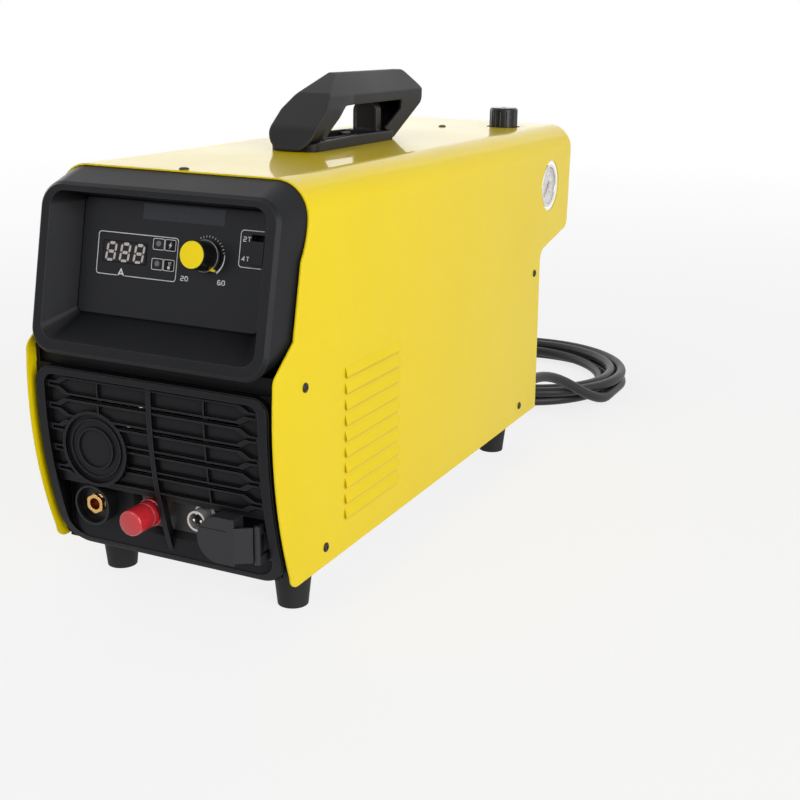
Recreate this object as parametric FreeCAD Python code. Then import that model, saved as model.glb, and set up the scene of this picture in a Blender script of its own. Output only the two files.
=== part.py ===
import FreeCAD, Part
import math
import os

# Inverter plasma cutter, millimetres, +Z up, front faces -Y, feet stand on Z = 0.
# Origin: middle of the bounding box, on the floor.

os.makedirs("parts", exist_ok=True)
V = FreeCAD.Vector

# overall sizes
width = 205.0
length = 602.0
foot_height = 33.0
body_height = 281.0
sheet = 1.2
bend_r = 24.0
seat = 0.2             # slack between pieces pushed together
slack = 0.3            # screw in its hole
turning = 0.05         # shaft in its bore
nose_back = 8.5        # nose of the cover's side cheeks, behind the foremost edge of the front
nose_height = 155.0    # the same nose, above the cover's lower edge

half = width / 2
inside = half - sheet
cover_bottom = foot_height
cover_top = cover_bottom + body_height
beak_y = -length / 2 + nose_back
beak_z = cover_bottom + nose_height
rear_y = length / 2             # end of the overhanging hood over the regulator
deck_z = cover_top - beak_z     # top of the cover, from the nose
base_z = cover_bottom - beak_z  # lower edge of the cover, from the nose
rear_run = rear_y - beak_y      # end of the overhanging hood, from the nose
panel_y = rear_run - 88.5       # rear panel, from the nose
reg_z = deck_z - 60.0           # the regulator hangs under the roof

# cover, side view, from the nose
hood_set_back = 46.0
hood_bend_drop = 25.0
slant_y, slant_z = 25.0, 22.0
mid_y, mid_z = 36.0, deck_z - 52.0
cheek_corner = 10.0
neck_y = panel_y + 8.0
neck_lean = 6.0
overhang_low_z = reg_z - 44.0
overhang_up_z = overhang_low_z + 9.0
neck_z = overhang_low_z - 20.0
overhang_corner = 7.0

# louvres pressed in the cover's sides
side_row_pitch = 12.1
side_rows = 10
side_first_z = -16.0
side_y0, side_y1 = 98.0, 188.0
vent_rise, vent_h, vent_wall, vent_end = 1.6, 8.0, 0.9, 1.5

# screws
side_screws = ((39.5, -13.0), (68.5, -141.0), (panel_y - 7.5, -11.5), (panel_y - 35.0, -141.0))
top_screws = ((0.0, 53.0), (0.0, panel_y - 9.0))
screw_head_r, screw_head_t, screw_r = 3.6, 1.4, 1.9
screw_grip = 6.0
tap_gap = 0.1          # screw in the sheet that it bites

# tray and feet
tray_y0 = 40.0
tray_wall = 30.0
foot_x = 77.6
foot_ys = (63.6, panel_y - 43.0)
foot_places = [(x, y) for y in foot_ys for x in (-foot_x, foot_x)]
foot_top_r, foot_low_r = 15.0, 11.5
foot_screw_r = 2.0
foot_recess_r = 5.0
foot_web = 7.0

# front moulding
wall = 3.0
lean = 12.0                    # the face with the controls looks up a little
rim_depth = 24.2
rim_top, rim_bottom = deck_z - 36.0, -30.5
rim_half = inside - 3.8
rim_r = 18.0
rim_chamfer = 2.5
opening_half = rim_half - 9.5
opening_top, opening_bottom = rim_top - 6.5, rim_bottom + 9.5
opening_r = 11.0
floor_half = opening_half - 12.5
floor_top = opening_top - 1.2
floor_r = 4.0
plate_y, plate_z = 25.0, 23.5   # foot of the control plate, from the nose
tuck = 62.0                     # how far the moulding reaches into the cover
groove_y = 10.0
groove_wall = 5.2
groove_top, groove_bottom = -1.5, -12.5

frame_half = inside - 4.3
frame_top, frame_bottom = -12.5, -155.0
frame_r = 13.0
frame_low_r = 22.0
frame_rim = 5.5
frame_side_rim = 8.0
face_top_y, face_mid_y, face_low_y = -0.2, 3.8, 22.0
face_mid_z, face_low_z = -85.0, -151.0
field_y = 5.0
field_wall = 3.0

# grille
rows = 5
row_pitch = 16.3
row_first = -26.0
slat_h = 13.2
slat_tip_h = 5.0
slat_tip = 9.0
slat_shoulder = 7.0
slat_rise = 2.6
slat_rib = 1.4
slot_h = 1.8
bar_w = 4.0
boss_x, boss_z = -49.6, -70.5
boss_r, boss_ring = 28.0, 2.2
boss_inner_r = 15.6

# connector pocket
pocket_top = -103.0
pocket_y = 22.0
window_left, window_right = -27.0, 52.0
window_top, window_bottom = -103.5, -131.0
plate_back_y = 26.0
plate_t = 1.5

socket_x, socket_z = -61.5, -118.5
socket_r, socket_cup_r, socket_front_y = 15.3, 13.8, 11.0
socket_face_y = 17.5
contact_r, contact_bore_r, contact_front_y = 7.3, 4.5, 14.0
contact_len = 30.0
socket_thread_r = 11.5
socket_nut_r = 15.0
panel_nut_t = 5.0

gas_x, gas_z = -13.0, -117.0
gas_thread_r, gas_bore_r, gas_hex = 7.8, 3.0, 19.0
cap_r, cap_flange_r, cap_front_y, cap_len = 9.6, 10.6, -8.5, 24.0
cap_flange = 3.5
cap_wall = 1.2

signal_x, signal_z = 31.7, -112.8
signal_r, signal_bore_r, signal_front_y = 7.6, 6.2, 8.5
signal_flange_r = 9.2
signal_pin_r, signal_pin_gap = 1.0, 6.0

lid_left, lid_right = 38.7, 68.5
lid_top, lid_bottom = -102.0, -136.0
lid_front_y, lid_t = -1.0, 2.2
lid_depth = 13.0
hinge_x, hinge_y = frame_half - frame_side_rim - 7.0, 8.5
hinge_r, hinge_pin_r = 2.4, 1.1
hinge_top, hinge_bottom = -107.0, -135.0
knuckle = 6.0
stud_x, stud_z, stud_r = 54.0, -119.0, 4.0

# controls, on the leaning plate: across, up, out
plate_thick = 1.5
window_x0, window_x1 = -56.2, -19.8
window_v1 = floor_top - 29.9
window_v0 = window_v1 - 14.6
led_x, led_r = -10.2, 2.0
led_vs = (window_v1 + 1.2, window_v0 + 2.0)
knob_x, knob_v = 30.2, window_v1 - 3.9
knob_r, knob_top_r, knob_len, knob_skirt = 11.5, 9.7, 20.0, 3.0
cap_disc_r, cap_disc_t = 9.2, 1.4
shaft_r = 3.0
bush_r = 3.6
switch_x, switch_v = 69.0, window_v1 + 3.4
switch_w, switch_h = 10.0, 20.5
switch_travel = 4.2
switch_slack = 0.15
switch_depth = 8.5
switch_wall = 1.5
board_out, board_t = 11.4, 1.6     # control board behind the plate
board_x0, board_x1 = -72.0, 62.0
board_v0, board_v1 = 14.0, floor_top - 2.3
post_r, post_in, post_up = 3.0, 4.0, 6.0
board_posts = [(x, v) for x in (board_x0 + post_in, board_x1 - post_in)
               for v in (board_v0 + post_up, board_v1 - post_up)]
can_r, can_front = 8.5, -2.6       # potentiometer's can, and where it ends behind the plate

# handle, side view from the nose
base_front = 200.0
base_len, base_half, base_h, base_crown = 142.0, 21.0, 7.6, 1.2
trough_in, trough_wall, trough_floor, trough_ribs, trough_rib_h = 18.0, 3.0, 2.6, 3, 1.8
grip_top, grip_under = 58.5, 33.0
grip_gap = 0.3
pad_half, grip_half, ridge_half, hollow_half = 21.0, 16.5, 2.5, 14.0
ear_half, ear_r, ear_t = 11.5, 8.0, 8.0
ear_h = grip_under - 0.6
ear_y = base_front + base_len - 15.0
ear_slack = 0.4
front_ear_in, front_ear_run = 4.0, 22.0
handle_bolt_ys = (base_front + 36.0, base_front + base_len - 26.0)
handle_bolt_x = 13.0
bolt_r = 2.5
bolt_boss = 2.0
rib_half = 1.0
dish_in, dish_deep = 2.2, 1.2
# grip's outline, from the base's front edge and the deck
pad_toe, toe_z = 7.0, 0.8
pad_knee_y, pad_knee_z = 1.5, 17.0
shoulder_y, shoulder_z = 37.0, 43.5
crown_y0, crown_y1 = 67.0, base_len + 52.0
tail_y = base_len + 67.5
tail_z0, tail_z1 = 30.0, 43.0
arm_in, arm_low = 9.0, 1.2
gap_y0, gap_y1 = 56.0, base_len + 26.0    # the hand's gap under the grip
gap_rear_z = 26.0
arm_knee_y, arm_knee_z = 22.0, 13.0
heel_y = 17.0
pad_high, flank_high = 31.0, 41.0
pad_run, taper_run = 42.0, 74.0
lobe_run, lobe_high = 16.0, 20.0
arm_wall, arm_room_z = 3.0, 40.0

# regulator bay
reg_x, reg_y = 50.0, panel_y + 29.0
reg_half = 20.0
reg_edge = 5.0
reg_top = reg_z + reg_half
gauge_z = reg_z + 4.7
gauge_r, gauge_bezel, gauge_depth = 20.8, 2.6, 13.0
gauge_hole_r = 24.5
knob_hole_r = 17.0
reg_knob_r, reg_knob_top = 14.0, 18.5
reg_lift = 3.0
inlet_hex, inlet_hex_t = 17.0, 6.0
inlet_neck_r, inlet_neck = 3.9, 6.0
inlet_collar_r, inlet_collar = 5.9, 4.0
inlet_tip_r, inlet_tip = 4.6, 10.0
bracket_t, bracket_gap, bracket_half = 1.7, 0.2, 19.0
bracket_bolt_x, bracket_bolt_z, bracket_bolt_r = 15.0, reg_top + 10.0, 2.0
bonnet_r = 17.5
bonnet_low = reg_top + 2.0
bonnet_top = bonnet_low + 12.0
nut_r = 8.5
nut_top = bonnet_top + 21.0
knob_low = bonnet_top + 1.5
bowl_r, bowl_low, bowl_wall = 16.5, reg_z - 72.0, 2.2
dial_x = inside - 2.9
needle_len = 14.5

# rear panel and what it carries
fan_size, fan_t, fan_bore_r = 92.0, 25.0, 43.0
fan_x, fan_z = -30.0, -84.0
hub_r = 18.0
rotor_back = 3.2
guard_gap, guard_t, guard_w, guard_pad_r = 4.0, 2.2, 1.2, 4.5
guard_rings = (18.0, 30.0, 42.0)
blades = 7
fan_bolt_r = 1.9
fan_bolt_gap = 41.25
gland_x, gland_z = half - 18.5, -138.0
gland_bore_r = 9.0
breaker_x, breaker_z = 60.0, -62.0
breaker_w, breaker_h, breaker_nose = 35.6, 45.0, 9.0
lever_y = panel_y + 7.0

# mains lead
cord_r = 5.5
gland_len = 40.0
loop_x, loop_y, loop_r = 12.0, panel_y + 217.0, 120.0
lead_run = 56.0
loop_pitch = 12.4
layer = 11.8
turns_per_layer = 2
tail = 58.0
floor_z = cord_r + 0.3 - beak_z
plug_r, plug_len, plug_neck = 17.0, 36.0, 14.0
prong_r, prong_len, prong_gap = 2.35, 19.0, 19.0

# inner pieces
shelf_z, shelf_t, shelf_half = -62.0, 1.6, 92.0    # main board
shelf_y0, shelf_y1 = 104.0, panel_y - 80.0
tray_z = base_z + sheet
sink_y0, sink_y1 = 120.0, shelf_y1 - 95.0
sink_w, sink_base, fin_t, fins = 78.0, 8.0, 2.4, 9
sink_in = 8.0
can_places = [(x, y) for x in (-62.0, -28.0) for y in (shelf_y1 - 75.0, shelf_y1 - 39.0)]
can_size_r, can_high = 15.0, 50.0
core_x, core_y = -70.0, 190.0
core_w, core_h, core_t = 64.0, 62.0, 70.0
core_yoke, core_limb, core_lid = 12.0, 24.0, 10.0
wound = 9.0            # how far the winding stands out of the core
hose_r = 4.0
hose_turn_y, hose_bend = 84.0, 30.0


def at(x, y, z):
    """Point given from the nose of the side cheeks."""
    return V(x, beak_y + y, beak_z + z)


def block(x0, x1, y0, y1, z0, z1):
    return Part.makeBox(x1 - x0, y1 - y0, z1 - z0, at(x0, y0, z0))


def rod(x, y, z, r, run, axis):
    return Part.makeCylinder(r, run, at(x, y, z), axis)


def ahead(x, y, z, r, run):
    """Cylinder whose near end is at y, running back."""
    return rod(x, y, z, r, run, V(0, 1, 0))


def upright(x, y, z, r, run):
    return rod(x, y, z, r, run, V(0, 0, 1))


def across(x, y, z, r, run):
    return rod(x, y, z, r, run, V(1, 0, 0))


def prism_x(points, x0, x1):
    wire = Part.makePolygon([at(x0, y, z) for y, z in points + points[:1]])
    return Part.Face(wire).extrude(V(x1 - x0, 0, 0))


def prism_y(points, y0, y1):
    wire = Part.makePolygon([at(x, y0, z) for x, z in points + points[:1]])
    return Part.Face(wire).extrude(V(0, y1 - y0, 0))


def prism_z(points, z0, z1):
    wire = Part.makePolygon([at(x, y, z0) for x, y in points + points[:1]])
    return Part.Face(wire).extrude(V(0, 0, z1 - z0))


def hexagon(x, z, flats, y0, y1):
    r = flats / math.sqrt(3)
    turns = [math.radians(60 * i + 30) for i in range(6)]
    return prism_y([(x + r * math.cos(a), z + r * math.sin(a)) for a in turns], y0, y1)


def rounded_wire(x0, x1, z0, z1, low_r, top_r, place):
    """Rounded rectangle; place turns (across, up) into a point."""
    k = math.sqrt(0.5)
    corners = [(x1 - low_r, z0 + low_r, low_r, 1, -1), (x1 - top_r, z1 - top_r, top_r, 1, 1),
               (x0 + top_r, z1 - top_r, top_r, -1, 1), (x0 + low_r, z0 + low_r, low_r, -1, -1)]
    arcs = []
    for cx, cz, r, sx, sz in corners:
        flat = place(cx + sx * r, cz)
        tall = place(cx, cz + sz * r)
        middle = place(cx + sx * r * k, cz + sz * r * k)
        ends = (tall, flat) if sx * sz < 0 else (flat, tall)
        arcs.append((ends[0], middle, ends[1]))
    edges = []
    for here, after in zip(arcs, arcs[1:] + arcs[:1]):
        edges.append(Part.Arc(*here).toShape())
        edges.append(Part.LineSegment(here[2], after[0]).toShape())
    return Part.Wire(edges)


def rounded_y(x0, x1, z0, z1, low_r, top_r, y0, y1):
    wire = rounded_wire(x0, x1, z0, z1, low_r, top_r, lambda x, z: at(x, y0, z))
    return Part.Face(wire).extrude(V(0, y1 - y0, 0))


def soft_wire(corners, place):
    """Closed outline through (u, v, radius) corners, each rounded by its own radius."""
    points = [V(u, v, 0) for u, v, r in corners]
    count = len(corners)
    ends = []
    for i, (u, v, r) in enumerate(corners):
        before = points[i - 1] - points[i]
        after = points[(i + 1) % count] - points[i]
        half_angle = before.getAngle(after) / 2
        reach = r / math.tan(half_angle)
        before.normalize()
        after.normalize()
        first = points[i] + before * reach
        last = points[i] + after * reach
        inward = before + after
        inward.normalize()
        crown = points[i] + inward * (r / math.sin(half_angle) - r)
        ends.append((first, crown, last, r))
    edges = []
    for i, (first, crown, last, r) in enumerate(ends):
        if r > 0:
            a, b, c = (place(p.x, p.y) for p in (first, crown, last))
            edges.append(Part.Arc(a, b, c).toShape())
        after = ends[(i + 1) % count][0]
        if (after - last).Length > 1e-6:
            edges.append(Part.LineSegment(place(last.x, last.y), place(after.x, after.y)).toShape())
    return Part.Wire(edges)


def soft_prism_x(corners, x0, x1):
    wire = soft_wire(corners, lambda y, z: at(x0, y, z))
    return Part.Face(wire).extrude(V(x1 - x0, 0, 0))


def soft_prism_y(corners, y0, y1):
    wire = soft_wire(corners, lambda x, z: at(x, y0, z))
    return Part.Face(wire).extrude(V(0, y1 - y0, 0))


def soft_prism_z(corners, z0, z1):
    wire = soft_wire(corners, lambda x, y: at(x, y, z0))
    return Part.Face(wire).extrude(V(0, 0, z1 - z0))


def mirrored(right_side):
    """Corners of a symmetric outline from its right half, listed from the bottom up."""
    return right_side + [(-x, z, r) for x, z, r in reversed(right_side)]


def leaning(shape):
    """Turn a shape built upright round the plate's foot into its leaning place."""
    turned = shape.copy()
    turned.rotate(V(0, 0, 0), V(1, 0, 0), -lean)
    turned.translate(at(0, plate_y, plate_z))
    return turned


def plate_point(x, v, out):
    a = math.radians(lean)
    return at(x, plate_y + v * math.sin(a) - out * math.cos(a), plate_z + v * math.cos(a) + out * math.sin(a))


def plate_box(x0, x1, v0, v1, out0, out1):
    return leaning(Part.makeBox(x1 - x0, out1 - out0, v1 - v0, V(x0, -out1, v0)))


def plate_rod(x, v, r, out0, out1):
    return leaning(Part.makeCylinder(r, out1 - out0, V(x, -out0, v), V(0, -1, 0)))


def plate_wire(x_half, v0, v1, r, out):
    return rounded_wire(-x_half, x_half, v0, v1, r, r, lambda x, v: plate_point(x, v, out))


def upright_wire(x_half, z0, z1, r, y):
    return rounded_wire(-x_half, x_half, z0, z1, r, r, lambda x, z: at(x, y, z))


def fused(shapes):
    first = shapes[0]
    return first.fuse(shapes[1:]) if len(shapes) > 1 else first


def save(name, shape):
    bodies = shape.Solids
    out = bodies[0] if len(bodies) == 1 else Part.makeCompound(bodies)
    bad = [s for s in bodies if not s.isValid()]
    out.exportStep("parts/" + name + ".step")
    volume = round(sum(s.Volume for s in bodies) / 1000, 1)
    print(name, len(bodies), "solid", volume, "cm3", "BAD" if bad else "")


# cover and chassis

def face_arc(offset, top_z, low_z):
    """Side-view curve of the lower front, moved back by offset, as one arc edge's three points."""
    upper = V(0, face_top_y + offset, frame_top)
    middle = V(0, face_mid_y + offset, face_mid_z)
    lower = V(0, face_low_y + offset, face_low_z)
    circle = Part.Arc(upper, middle, lower).toShape().Curve
    points = []
    for z in (top_z, (top_z + low_z) / 2, low_z):
        rise = z - circle.Center.z
        points.append((circle.Center.y - math.sqrt(circle.Radius ** 2 - rise ** 2), z))
    return points


def face_y(z, offset):
    return face_arc(offset, z, z - 1)[0][0]


def strip(offset0, offset1, x0, x1, top_z, low_z):
    """Slab that follows the curved lower front between two offsets."""
    front = [at(x0, y, z) for y, z in face_arc(offset0, top_z, low_z)]
    back = [at(x0, y, z) for y, z in face_arc(offset1, top_z, low_z)]
    edges = [Part.Arc(*front).toShape(), Part.LineSegment(front[2], back[2]).toShape(),
             Part.Arc(back[2], back[1], back[0]).toShape(), Part.LineSegment(back[0], front[0]).toShape()]
    return Part.Face(Part.Wire(edges)).extrude(V(x1 - x0, 0, 0))


def cover_outline():
    """Side view of the cover as one wire at its left side."""
    x = -half - 1
    top, low, rear = deck_z, base_z, rear_run
    cheek = face_arc(-2.0, 0.0, low + cheek_corner)
    start = at(x, hood_set_back, top)
    bend = at(x, hood_set_back, top - hood_bend_drop)
    mid = at(x, mid_y, mid_z)
    curve_in = at(x, (hood_set_back + mid_y) / 2 + 2.2, (top - hood_bend_drop + mid_z) / 2)
    slant = at(x, slant_y, slant_z)
    nose = at(x, 2.0, 4.0)
    nose_mid = at(x, (2.0 + cheek[0][0]) / 2 - 1.4, 0.0)
    low_cheek = face_arc(-2.0, -4.0, low + cheek_corner)
    a, b, c = [at(x, y, z) for y, z in low_cheek]
    foot = at(x, low_cheek[2][0] + cheek_corner, low)
    turn = at(x, low_cheek[2][0] + cheek_corner * 0.30, low + cheek_corner * 0.28)
    heel = at(x, neck_y + neck_lean, low)
    neck = at(x, neck_y, neck_z - 6.0)
    under = at(x, neck_y + 12.0, neck_z + 8.5)
    neck_turn = at(x, neck_y + 3.2, neck_z + 4.4)
    run_out = at(x, rear - overhang_corner - 3.0, overhang_low_z)
    rise = at(x, rear - 1.5, overhang_up_z)
    rise_turn = at(x, rear - 4.0, overhang_low_z + 2.9)
    back = at(x, rear, top)
    nose_arc = Part.Arc(nose, nose_mid, a).toShape()
    edges = [Part.LineSegment(start, bend).toShape(), Part.Arc(bend, curve_in, mid).toShape(),
             Part.LineSegment(mid, slant).toShape(), Part.LineSegment(slant, nose).toShape(),
             nose_arc, Part.Arc(a, b, c).toShape(), Part.Arc(c, turn, foot).toShape(),
             Part.LineSegment(foot, heel).toShape(), Part.LineSegment(heel, neck).toShape(),
             Part.Arc(neck, neck_turn, under).toShape(), Part.LineSegment(under, run_out).toShape(),
             Part.Arc(run_out, rise_turn, rise).toShape(), Part.LineSegment(rise, back).toShape(),
             Part.LineSegment(back, start).toShape()]
    return Part.Wire(edges)


def side_vents(sign):
    """Pressed louvres: hollow lips standing off the sheet, open at their lower edge."""
    lips = []
    cuts = []
    for i in range(side_rows):
        z = side_first_z - i * side_row_pitch
        x = sign * half
        outer = [(x, z + vent_h * 0.5), (x + sign * vent_rise, z - vent_h * 0.35),
                 (x + sign * vent_rise, z - vent_h * 0.5), (x - sign * sheet, z - vent_h * 0.5),
                 (x - sign * sheet, z + vent_h * 0.5)]
        t = vent_wall
        inner = [(x - sign * (sheet + 1), z + vent_h * 0.5 - t), (x - sign * t, z + vent_h * 0.5 - t),
                 (x + sign * (vent_rise - t), z - vent_h * 0.35), (x + sign * (vent_rise - t), z - vent_h * 0.5 - 1),
                 (x - sign * (sheet + 1), z - vent_h * 0.5 - 1)]
        lips.append(prism_y(outer, side_y0, side_y1))
        cuts.append(prism_y(inner, side_y0 + vent_end, side_y1 - vent_end))
    return lips, cuts


def cover():
    rear = rear_run
    top = deck_z
    low = base_z
    outer = rounded_y(-half, half, low - 60, top, 1.0, bend_r, -10, rear + 10)
    inner = rounded_y(-inside, inside, low - 80, top - sheet, 1.0, bend_r - sheet, -20, rear + 20)
    profile = Part.Face(cover_outline()).extrude(V(width + 2, 0, 0))
    lips, cuts = [], []
    for sign in (1, -1):
        more = side_vents(sign)
        lips += more[0]
        cuts += more[1]
    shell = outer.cut(inner).common(profile).fuse(lips).cut(cuts)
    holes = [across(half - 3 * sheet, reg_y, gauge_z, gauge_hole_r, 6 * sheet),
             upright(reg_x, reg_y, top - 4 * sheet, knob_hole_r, 8 * sheet)]
    for y, z in side_screws:
        holes.append(across(-half - sheet, y, z, screw_r + slack, width + 2 * sheet))
    for x, y in top_screws:
        holes.append(upright(x, y, top - 3 * sheet, screw_r + slack, 6 * sheet))
    for y in handle_bolt_ys:
        for x in (-handle_bolt_x, handle_bolt_x):
            holes.append(upright(x, y, top - 3 * sheet, bolt_r + slack, 6 * sheet))
    return shell.cut(holes).removeSplitter()


def cover_screws():
    heads = []
    top = deck_z
    for y, z in side_screws:
        for sign in (1, -1):
            head = across(sign * half if sign > 0 else -half - screw_head_t, y, z, screw_head_r, screw_head_t)
            shank = across(inside - screw_grip if sign > 0 else -half, y, z, screw_r, sheet + screw_grip)
            heads.append(head.fuse(shank))
    for x, y in top_screws:
        heads.append(upright(x, y, top, screw_head_r, screw_head_t).fuse(
            upright(x, y, top - sheet - screw_grip, screw_r, screw_grip + sheet)))
    return heads


def base_tray():
    low = base_z
    rim = inside - seat
    floor = block(-rim, rim, tray_y0, neck_y - 2, low, low + sheet)
    walls = [block(x, x + sheet, tray_y0, panel_y - seat, low, low + tray_wall) for x in (-rim, rim - sheet)]
    holes = [across(-half, y, z, screw_r + tap_gap, width) for y, z in side_screws]
    for x, y in foot_places:
        holes.append(upright(x, y, low - 1, foot_screw_r + 2 * tap_gap, sheet + 2))
    return fused([floor] + walls).cut(holes)


def feet():
    bodies = []
    low = base_z
    for x, y in foot_places:
        cone = Part.makeCone(foot_low_r, foot_top_r, foot_height, at(x, y, low - foot_height))
        bore = upright(x, y, low - foot_height - 1, foot_screw_r + tap_gap, foot_height + 2)
        recess = upright(x, y, low - foot_height - 1, foot_recess_r, foot_height - foot_web)
        bodies.append(cone.cut([bore, recess]))
    return Part.makeCompound(bodies)


def foot_screws():
    bodies = []
    low = base_z
    for x, y in foot_places:
        shank = upright(x, y, low - 8, foot_screw_r, 8 + sheet + 4)
        head = upright(x, y, low - 8 - 2.2, foot_recess_r - 1, 2.2)
        bodies.append(shank.fuse(head))
    return bodies


def rear_panel():
    low = base_z + sheet + seat
    top = deck_z - sheet - seat
    rim = inside - seat
    fold = rim - sheet - seat
    panel = rounded_y(-rim, rim, low, top, 1.0, bend_r - sheet - seat, panel_y, panel_y + plate_t)
    lip = block(-fold, fold, panel_y - 12, panel_y, low, low + plate_t)
    tabs = [block(s * rim - (plate_t if s > 0 else 0), s * rim + (0 if s > 0 else plate_t),
                  panel_y - 14, panel_y, -20, 10) for s in (1, -1)]
    top_tab = block(-12, 12, panel_y - 14, panel_y, top - plate_t, top)
    shape = fused([panel, lip, top_tab] + tabs)
    holes = [ahead(fan_x, panel_y - 1, fan_z, fan_bore_r, plate_t + 2),
             ahead(gland_x, panel_y - 1, gland_z, gland_bore_r, plate_t + 2),
             block(breaker_x - breaker_w / 2 - seat, breaker_x + breaker_w / 2 + seat, panel_y - 1,
                   panel_y + plate_t + 1, breaker_z - breaker_h / 2 - seat, breaker_z + breaker_h / 2 + seat),
             ahead(reg_x, panel_y - 1, reg_z, 8.7, plate_t + 2)]
    for y, z in side_screws:
        holes.append(across(-half, y, z, screw_r + tap_gap, width))
    for x, y in top_screws:
        holes.append(upright(x, y, top - 8, screw_r + tap_gap, 10))
    for x, z in fan_bolts():
        holes.append(ahead(x, panel_y - 1, z, fan_bolt_r + 2 * tap_gap, plate_t + 2))
    for x in (-bracket_bolt_x, bracket_bolt_x):
        holes.append(ahead(reg_x + x, panel_y - 1, bracket_bolt_z, bracket_bolt_r + 2 * tap_gap, plate_t + 2))
    return shape.cut(holes)


def fan_bolts():
    return [(fan_x + sx * fan_bolt_gap, fan_z + sz * fan_bolt_gap) for sx in (-1, 1) for sz in (-1, 1)]


# front moulding

def plate_loft(wires):
    return Part.makeLoft(wires, True, True)


def hood():
    top = deck_z - sheet - seat
    rim = inside - seat
    deep = rim_depth - rim_chamfer
    front = plate_wire(rim_half - rim_chamfer, rim_bottom + rim_chamfer, rim_top - rim_chamfer,
                       rim_r - rim_chamfer, rim_depth)
    brim = plate_wire(rim_half, rim_bottom, rim_top, rim_r, deep)
    mouth = upright_wire(rim, groove_top, top, bend_r - sheet - seat, hood_set_back)
    outer = plate_loft([front, brim]).fuse(plate_loft([brim, mouth]))
    outer = outer.fuse(rounded_y(-rim, rim, groove_top, top, bend_r - sheet - seat, bend_r - sheet - seat,
                                 hood_set_back, tuck))
    inner_brim = plate_wire(rim_half - wall, rim_bottom + wall, rim_top - wall, rim_r - wall, deep - wall)
    inner_mouth = upright_wire(rim - wall, groove_top + wall, top - wall, bend_r - wall, hood_set_back)
    hollow = plate_loft([inner_brim, inner_mouth]).fuse(
        rounded_y(-rim + wall, rim - wall, groove_top + wall, top - wall, bend_r - wall, bend_r - wall,
                  hood_set_back, tuck + 5))
    w = 2.5
    bowl = plate_loft([plate_wire(opening_half + w, opening_bottom - w, opening_top + w, opening_r + w, rim_depth),
                       plate_wire(floor_half + w, -w, floor_top + w, floor_r + w, -w)])
    mouth_face = plate_wire(opening_half, opening_bottom, opening_top, opening_r, rim_depth)
    a = math.radians(lean)
    out = V(0, -math.cos(a) * 6, math.sin(a) * 6)
    recess = plate_loft([mouth_face, plate_wire(floor_half, 0, floor_top, floor_r, 0)])
    recess = recess.fuse(Part.Face(mouth_face).extrude(out))
    return outer.cut(hollow).fuse(bowl.common(outer)).cut(recess)


def floor_openings(out0, out1):
    """Cut-outs for the display, lamps, knob bush and switch, through anything between two depths."""
    cuts = [plate_box(window_x0, window_x1, window_v0, window_v1, out0, out1),
            plate_rod(knob_x, knob_v, bush_r + 0.6, out0, out1),
            plate_box(switch_x - switch_w / 2, switch_x + switch_w / 2,
                      switch_v - switch_h / 2, switch_v + switch_h / 2, out0, out1)]
    for v in led_vs:
        cuts.append(plate_rod(led_x, v, led_r + 0.15, out0, out1))
    return cuts


def octagon(x0, x1, z, inset):
    tip = slat_tip_h / 2 - inset
    body = slat_h / 2 - inset
    a = x0 + inset
    b = x1 - inset
    return [(a, z - tip), (a + slat_tip, z - tip), (a + slat_tip + slat_shoulder, z - body),
            (b - slat_tip - slat_shoulder, z - body), (b - slat_tip, z - tip),
            (b, z - tip), (b, z + tip), (b - slat_tip, z + tip),
            (b - slat_tip - slat_shoulder, z + body), (a + slat_tip + slat_shoulder, z + body),
            (a + slat_tip, z + tip), (a, z + tip)]


def ring_y(x, z, r_out, r_in, y0, y1):
    return ahead(x, y0, z, r_out, y1 - y0).cut(ahead(x, y0 - 1, z, r_in, y1 - y0 + 2))


def grille():
    reach = frame_half - frame_side_rim
    low_end = pocket_top + 2.0
    skin = strip(field_y, field_y + field_wall, -reach - 3, reach + 3, frame_top - 3, low_end - 2)
    boss_block = ahead(boss_x, -20, boss_z, boss_r - 0.3, 60)
    slots = []
    lips = []
    for i in range(rows):
        z = row_first - i * row_pitch
        outer = prism_y(octagon(-reach - 1, reach + 1, z, 0), -20, 40)
        inner = prism_y(octagon(-reach + slat_rib, reach - slat_rib, z, slat_rib), -20, 40)
        frame = outer.cut(inner)
        lips.append(strip(field_y - slat_rise, field_y + 0.6, -reach - 1, reach + 1,
                          z + slat_h, z - slat_h).common(frame))
        for sx in (-1, 1):
            x = sx * reach / 2
            lips.append(strip(field_y - slat_rise + 0.4, field_y + 0.6, x - 0.6, x + 0.6,
                              z + slat_h / 2, z - slat_h / 2))
        if i < rows - 1:
            gap_z = z - row_pitch / 2
            for x0, x1 in ((-reach + 18, -reach / 2 - 2), (-reach / 2 + 2, -bar_w), (bar_w, reach / 2 - 2),
                           (reach / 2 + 2, reach - 18)):
                slots.append(block(x0, x1, -20, 40, gap_z - slot_h / 2, gap_z + slot_h / 2))
    body = skin.fuse(lips).cut(slots + [boss_block])
    face = face_y(boss_z, 0) + 0.6
    back = field_y + field_wall + face_y(boss_z, 0)
    boss = [ring_y(boss_x, boss_z, boss_r, boss_r - boss_ring, face, back),
            ahead(boss_x, face + 2.6, boss_z, boss_r - 0.5, back - face - 2.6),
            ring_y(boss_x, boss_z, boss_inner_r, boss_inner_r - 1.2, face + 1.2, back),
            ring_y(boss_x, boss_z, boss_inner_r + 6.5, boss_inner_r + 5.3, face + 1.6, back)]
    bar = strip(1.8, field_y + field_wall, -bar_w / 2, bar_w / 2, frame_top - 4, frame_bottom + 7)
    bar = bar.cut(boss_block)
    return body.fuse(boss + [bar])


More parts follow.
